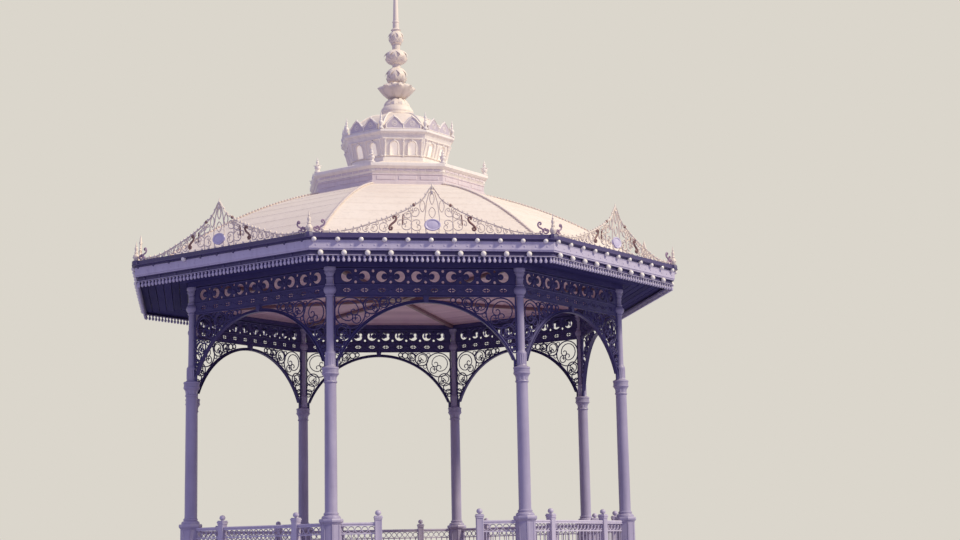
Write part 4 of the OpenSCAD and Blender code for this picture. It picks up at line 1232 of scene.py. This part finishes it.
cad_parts["lantern_arcade"].material_slots[0].material = drum_paint
trim = bmesh.new()
trim_half = opening_half + 0.01
lines = []
for side in (-1, 1):
    x = side * opening_x
    lines.append(([(x - trim_half, opening_z), (x - trim_half, window_top)]
                  + arc(x, window_top, trim_half, 180, 0, 12)[1:-1]
                  + [(x + trim_half, window_top), (x + trim_half, opening_z)], False))
joined(trim, cast_bars(lines, 0.03, 0.036))
joined(trim, cast_bars([([(-0.33, opening_z - 0.012), (0.33, opening_z - 0.012)], False),
                        ([(-0.36, 8.888), (0.36, 8.888)], False)], 0.02, 0.036))
shaft = turned([(0, 8.575), (0.026, 8.575), (0.026, 8.6), (0.018, 8.61), (0.016, 8.62), (0.016, 8.82),
                (0.024, 8.83), (0.018, 8.84), (0.028, 8.87), (0.03, 8.885), (0, 8.885)], 10)
for x in (-0.325, 0, 0.325):
    joined(trim, shaft, at(x, 0, 0))
for side in (-1, 1):
    made = cube(trim, (side * opening_x - 0.018, -0.022, 8.835), (side * opening_x + 0.018, 0.01, 8.875))
    softened(trim, edges_of(made), 0.005, 1)
shifted(trim, (0, -shell_y - 0.004, 0))
leaning(trim)
all_round(trim)
piece("lantern_trim", trim, [drum_paint])

pane_glass, tree, shader = finish_material("pane_glass", 0.25)
wear_and_shade = masks_of_wear_and_shade(tree, 5.0, 60.0)
glow = mixed(tree, times(tree, wear_and_shade["Patches"], 0.4), linear(250, 240, 226), linear(226, 214, 202))
tree.links.new(glow, shader.inputs["Base Color"])
# The panes glow though they are no lamp: painted light for daylight through the glass
tree.links.new(glow, shader.inputs["Emission Color"])
shader.inputs["Emission Strength"].default_value = 0.3
tree.links.new(times(tree, wear_and_shade["Grain"], 0.5), shader.inputs["Roughness"])
bumped(tree, shader, wear_and_shade["Patches"], 0.1, 0.002)
pane_t = 0.006
panes = bmesh.new()
for side in (-1, 1):
    x = side * opening_x
    outline = ([(x - opening_half, opening_z)] + arc(x, window_top, opening_half, 180, 0, 12)
               + [(x + opening_half, opening_z)])
    extruded(panes, [(a, 0, b) for a, b in outline], (0, pane_t, 0))
shifted(panes, (0, -shell_y + 0.012, 0))
leaning(panes)
all_round(panes)
piece("lantern_panes", panes, [pane_glass])

lid_y = lid_corner * FLAT
top_y = lantern_corner * FLAT
lid = bmesh.new()
joined(lid, octagonal([
    (top_y - 0.09, lantern_top), (top_y + 0.002, lantern_top), (top_y + 0.006, 8.956), (top_y + 0.014, 8.962),
    (top_y + 0.016, 8.975), (top_y + 0.03, 8.982), (top_y + 0.046, 8.995), (lid_y - 0.006, 9.0),
    (lid_y, 9.006), (lid_y, 9.036), (lid_y - 0.005, 9.044), (lid_y - 0.012, lid_top),
    (top_y - 0.09, lid_top)]))
piece("lantern_cornice_sheets", lid, [drum_paint], ("lantern_cornice",))

# Lantern roof
# A small bulged roof of painted sheet in eight panels with rolls on its hips, closed by a round
# turned cap with a ring of leaves.
cap_r, cap_z, cap_top = 0.29, 9.51, 9.7
hood_rise, hood_bulge = 0.46, 0.115
hood = bmesh.new()
steps_n = 16
curve = []
for k in range(steps_n + 1):
    t = k / steps_n
    curve.append(((lantern_corner + (cap_r - lantern_corner) * t) * FLAT,
                  lid_top + hood_rise * t + 4 * hood_bulge * t * (1 - t)))
joined(hood, octagonal([(0, lid_top)] + curve + [(0, cap_z)], closed=False))
joined(hood, turned([(0, cap_z - 0.01), (cap_r, cap_z - 0.01), (0.3, cap_z), (0.31, 9.525), (0.31, 9.55),
                     (0.298, 9.565), (0.304, 9.58), (0.304, 9.6), (0.292, 9.635), (0.27, 9.67),
                     (0.246, 9.695), (0.24, cap_top), (0, cap_top)], 40))
crown(hood, leaf(0.1, 0.09, -0.03, 0.008), 14, 0.3, 9.58)
piece("lantern_roof_sheets", hood, [cream], ("lantern_roof",), crease=25)

hips = bmesh.new()
line = [(distance / FLAT, z + 0.004) for distance, z in curve]
roll = cast_bars([(line, False)], 0.024, 0.03)
for k in range(SIDES):
    joined(hips, roll, to_corner(k))
piece("lantern_hips", hips, [drum_paint])

# Lantern gables
# Over each window a small cast gable with a sunk field, painted mauve as painted shade, stands on
# the lantern's cornice, so that every side ends in an M, and each corner carries a turned spike.
gable_corner = lid_corner - 0.0375
gable_y = gable_corner * FLAT
gable_w, gable_h, gable_foot = 0.32, 0.25, 0.42
gable_mid, curl_z = 0.16, 0.105
gable_half = [(gable_w * t, gable_h * h) for t, h in (
    (0, gable_foot), (0.13, 0.55), (0.3, 0.82), (0.5, 1), (0.7, 0.82), (0.87, 0.55), (1, gable_foot))]
gable_top = other_half(gable_half) + gable_half[1:]
gable_in = [(x, z - 0.017) for x, z in gable_top]
# Mauve field: painted shade in the sunk field
gable_field_shade_paint = paint("gable_field_shade_paint", linear(196, 184, 194), linear(214, 204, 210), linear(132, 120, 134))
gables = bmesh.new()
joined(gables, cast_plate([([(-gable_w, 0)] + gable_in + [(gable_w, 0)], True)], 0.014), finish=1)
joined(gables, cast_bars([(gable_in, False)], 0.034, 0.044))
gable_bars = [([(-gable_w, 0.013), (gable_w, 0.013)], False)]
gable_bars += [([(x, 0.01), (x, gable_foot * gable_h)], False)
               for x in (-gable_w + 0.015, 0, gable_w - 0.015)]
joined(gables, cast_bars(gable_bars, 0.026, 0.04))
joined(gables, cast_bars([ring(x, curl_z, 0.045, 14) for x in (-gable_mid, gable_mid)]
                         + both([c_scroll(gable_mid, curl_z, 0.026, 270, 1, 0.5, 260)]), 0.012, 0.024))
for x, z, size in ((-gable_mid, 0.236, 1.5), (gable_mid, 0.236, 1.5), (0, curl_z, 1.4)):
    joined(gables, knob, at(x, 0, z) @ Matrix.Scale(size, 4))
shifted(gables, (0, -gable_y, lid_top))
all_round(gables)
for k in range(SIDES):
    joined(gables, spike, to_corner(k) @ at(0, -gable_corner, lid_top)
           @ Matrix.Diagonal((0.75, 0.75, 0.825, 1)))
piece("lantern_gables", gables, [drum_paint, gable_field_shade_paint], ("lantern_crests",))

# Spire
# The spire is spun and beaten sheet: a bell-shaped neck, a wide cup of curling leaves, three
# knobs wrapped in leaves, and a thin tapering shaft.
knobs = ((10.28, 0.180, 0.180), (10.65, 0.195, 0.145), (11.02, 0.130, 0.135))
mast_top = 12.51
spire_outline = [(0, cap_top), (0.235, cap_top), (0.235, 9.715), (0.222, 9.725), (0.216, 9.75), (0.2, 9.785),
                 (0.17, 9.815), (0.135, 9.832), (0.12, 9.84), (0.128, 9.85), (0.12, 9.86), (0.112, 9.87),
                 (0.135, 9.9), (0.17, 9.94), (0.195, 9.985), (0.2, 10.02), (0.185, 10.03), (0.13, 10.02),
                 (0.1, 10.03), (0.09, 10.07)]
for z, r, h in knobs:
    spire_outline += [(0.075, z - h * 0.93 - 0.008), (0.098, z - h * 0.93), (0.075, z - h * 0.90)]
    spire_outline += [(max(0.07, r * math.cos(math.radians(a))), z + h * math.sin(math.radians(a)))
                      for a in range(-64, 70, 16)]
    spire_outline.append((0.072, z + h * 0.93))
spire_outline += [(0.095, 11.17), (0.072, 11.185), (0.06, 11.2), (0.056, 11.3), (0.064, 11.31),
                  (0.064, 11.33), (0.052, 11.34), (0.045, 11.6), (0.036, 11.83), (0.043, 11.84),
                  (0.043, 11.86), (0.034, 11.87), (0.024, 12.2), (0.014, 12.45), (0.012, mast_top),
                  (0, mast_top)]


def husk(r, h, first, last, wide, flare):
    """A leaf that lies on a knob of radius r and half-height h, its tip standing off."""
    def place(side, t):
        a = math.radians(first + (last - first) * t)
        half = wide * math.sin(math.pi * min(1, 0.2 + 0.8 * t) ** 0.8) if t < 1 else 0.002
        across = side / 2 * half
        out = 1.03 + flare * t * t - abs(across) * 0.4
        return r * out * math.cos(a) - across * across / r, across, h * out * math.sin(a)

    return beaten(place, 0.008)


def petal(foot, reach, low, high, half_wide):
    """A broad petal of the cup, hollow like a spoon, its sides drawn in and raised."""
    def place(side, t):
        swell = 0.35 + 0.65 * math.sin(math.pi * min(t, 0.72) / 1.44)
        wide = half_wide * swell * math.sqrt(max(0.06, 1 - t ** 6))
        out = foot + (reach - foot) * (0.78 * math.sin(math.pi * t / 2) + 0.22 * t ** 3)
        z = low + (high - low) * (t ** 1.2 - 0.12 * t ** 5)
        return out - 0.06 * side * side * t, side * wide, z + 0.03 * side * side * t

    return beaten(place, 0.012, 4, 8)


mast = bmesh.new()
joined(mast, turned(spire_outline, 36))
crown(mast, husk(0.235, 0.16, 2, 60, 0.13, 0.06), 10, 0, 9.705)
crown(mast, petal(0.13, 0.352, 9.865, 10.085, 0.15), 8, 0, 0)
crown(mast, petal(0.12, 0.27, 9.885, 10.13, 0.12), 8, 0, 0, math.pi / 8)
for z, r, h in knobs:
    crown(mast, husk(r, h, -72, 4, r * 0.85, 0.1), 7, 0, z)
    crown(mast, husk(r, h, 74, 0, r * 0.85, 0.16), 7, 0, z, math.pi / 7)
piece("spire_sheets", mast, [cream], ("spire",), crease=30)

# Where it stands
# A plain pale floor and backdrop, one large soft warm light from the right and a cool even
# light all round, and the camera on the path in front, as high as a standing person's eye.
ground_r = 260
ground = bmesh.new()
bmesh.ops.create_circle(ground, cap_ends=True, segments=96, radius=ground_r)
ground_mesh = shape_of(ground)
ground_paint, tree, shader = finish_material("ground", 0.9)


def seen_directly(tree):
    """1 for what the camera, a reflection or a pane of glass shows, 0 for what gives light."""
    path = put(tree, "LightPath", {})
    direct = put(tree, "Math", {0: path.outputs["Is Camera Ray"], 1: path.outputs["Is Glossy Ray"]},
                 operation="MAXIMUM")
    return put(tree, "Math", {0: direct.outputs[0], 1: path.outputs["Is Transmission Ray"]},
               operation="MAXIMUM").outputs[0]


tree.links.new(mixed(tree, seen_directly(tree), linear(150, 149, 182), linear(226, 223, 204)),
               shader.inputs["Base Color"])
ground_mesh.materials.append(ground_paint)
floor = bpy.data.objects.new("ground", ground_mesh)
bpy.context.scene.collection.objects.link(floor)

world = bpy.data.worlds.new("studio")
bpy.context.scene.world = world
world.use_nodes = True
tree = world.node_tree
tree.nodes.clear()
soft = put(tree, "Background", {"Color": (0.58, 0.57, 1.0, 1), "Strength": 0.58})
seen = put(tree, "Background", {"Color": linear(219, 214, 204), "Strength": 1.0})
shown = put(tree, "MixShader", {0: seen_directly(tree), 1: soft.outputs[0], 2: seen.outputs[0]})
put(tree, "OutputWorld", {"Surface": shown.outputs[0]})

sun = bpy.data.lights.new("key", "SUN")
sun.energy = 3.05
sun.angle = math.radians(9)
sun.color = (1.0, 0.925, 0.69)
key = bpy.data.objects.new("key", sun)
key.rotation_euler = Vector((0.65, -0.41, 0.64)).to_track_quat("Z", "Y").to_euler()
bpy.context.scene.collection.objects.link(key)

turn = math.radians(6.598)
yaw, pitch, roll = math.radians(2.789), math.radians(9.579), math.radians(1.175)
away = 30.0
eye_height = 1.6
focal_px, picture_px, sensor_mm = 1688.78, 960, 36
forward = Vector((math.sin(yaw) * math.cos(pitch), math.cos(yaw) * math.cos(pitch), math.sin(pitch)))
right = Vector((math.cos(yaw), -math.sin(yaw), 0))
up = right.cross(forward)
tilted_right = right * math.cos(roll) - up * math.sin(roll)
tilted_up = right * math.sin(roll) + up * math.cos(roll)
stand = Matrix.Rotation(-turn, 3, "Z")
axes = [stand @ v for v in (tilted_right, tilted_up, -forward)]
pose = Matrix([[axes[c][r] for c in range(3)] for r in range(3)]).to_4x4()
pose.translation = stand @ Vector((0, -away, 0)) + Vector((0, 0, eye_height))
lens = bpy.data.cameras.new("camera")
lens.sensor_width = sensor_mm
lens.lens = focal_px / picture_px * sensor_mm
camera = bpy.data.objects.new("camera", lens)
camera.matrix_world = pose
bpy.context.scene.collection.objects.link(camera)
bpy.context.scene.camera = camera
bpy.context.scene.view_settings.view_transform = "Standard"
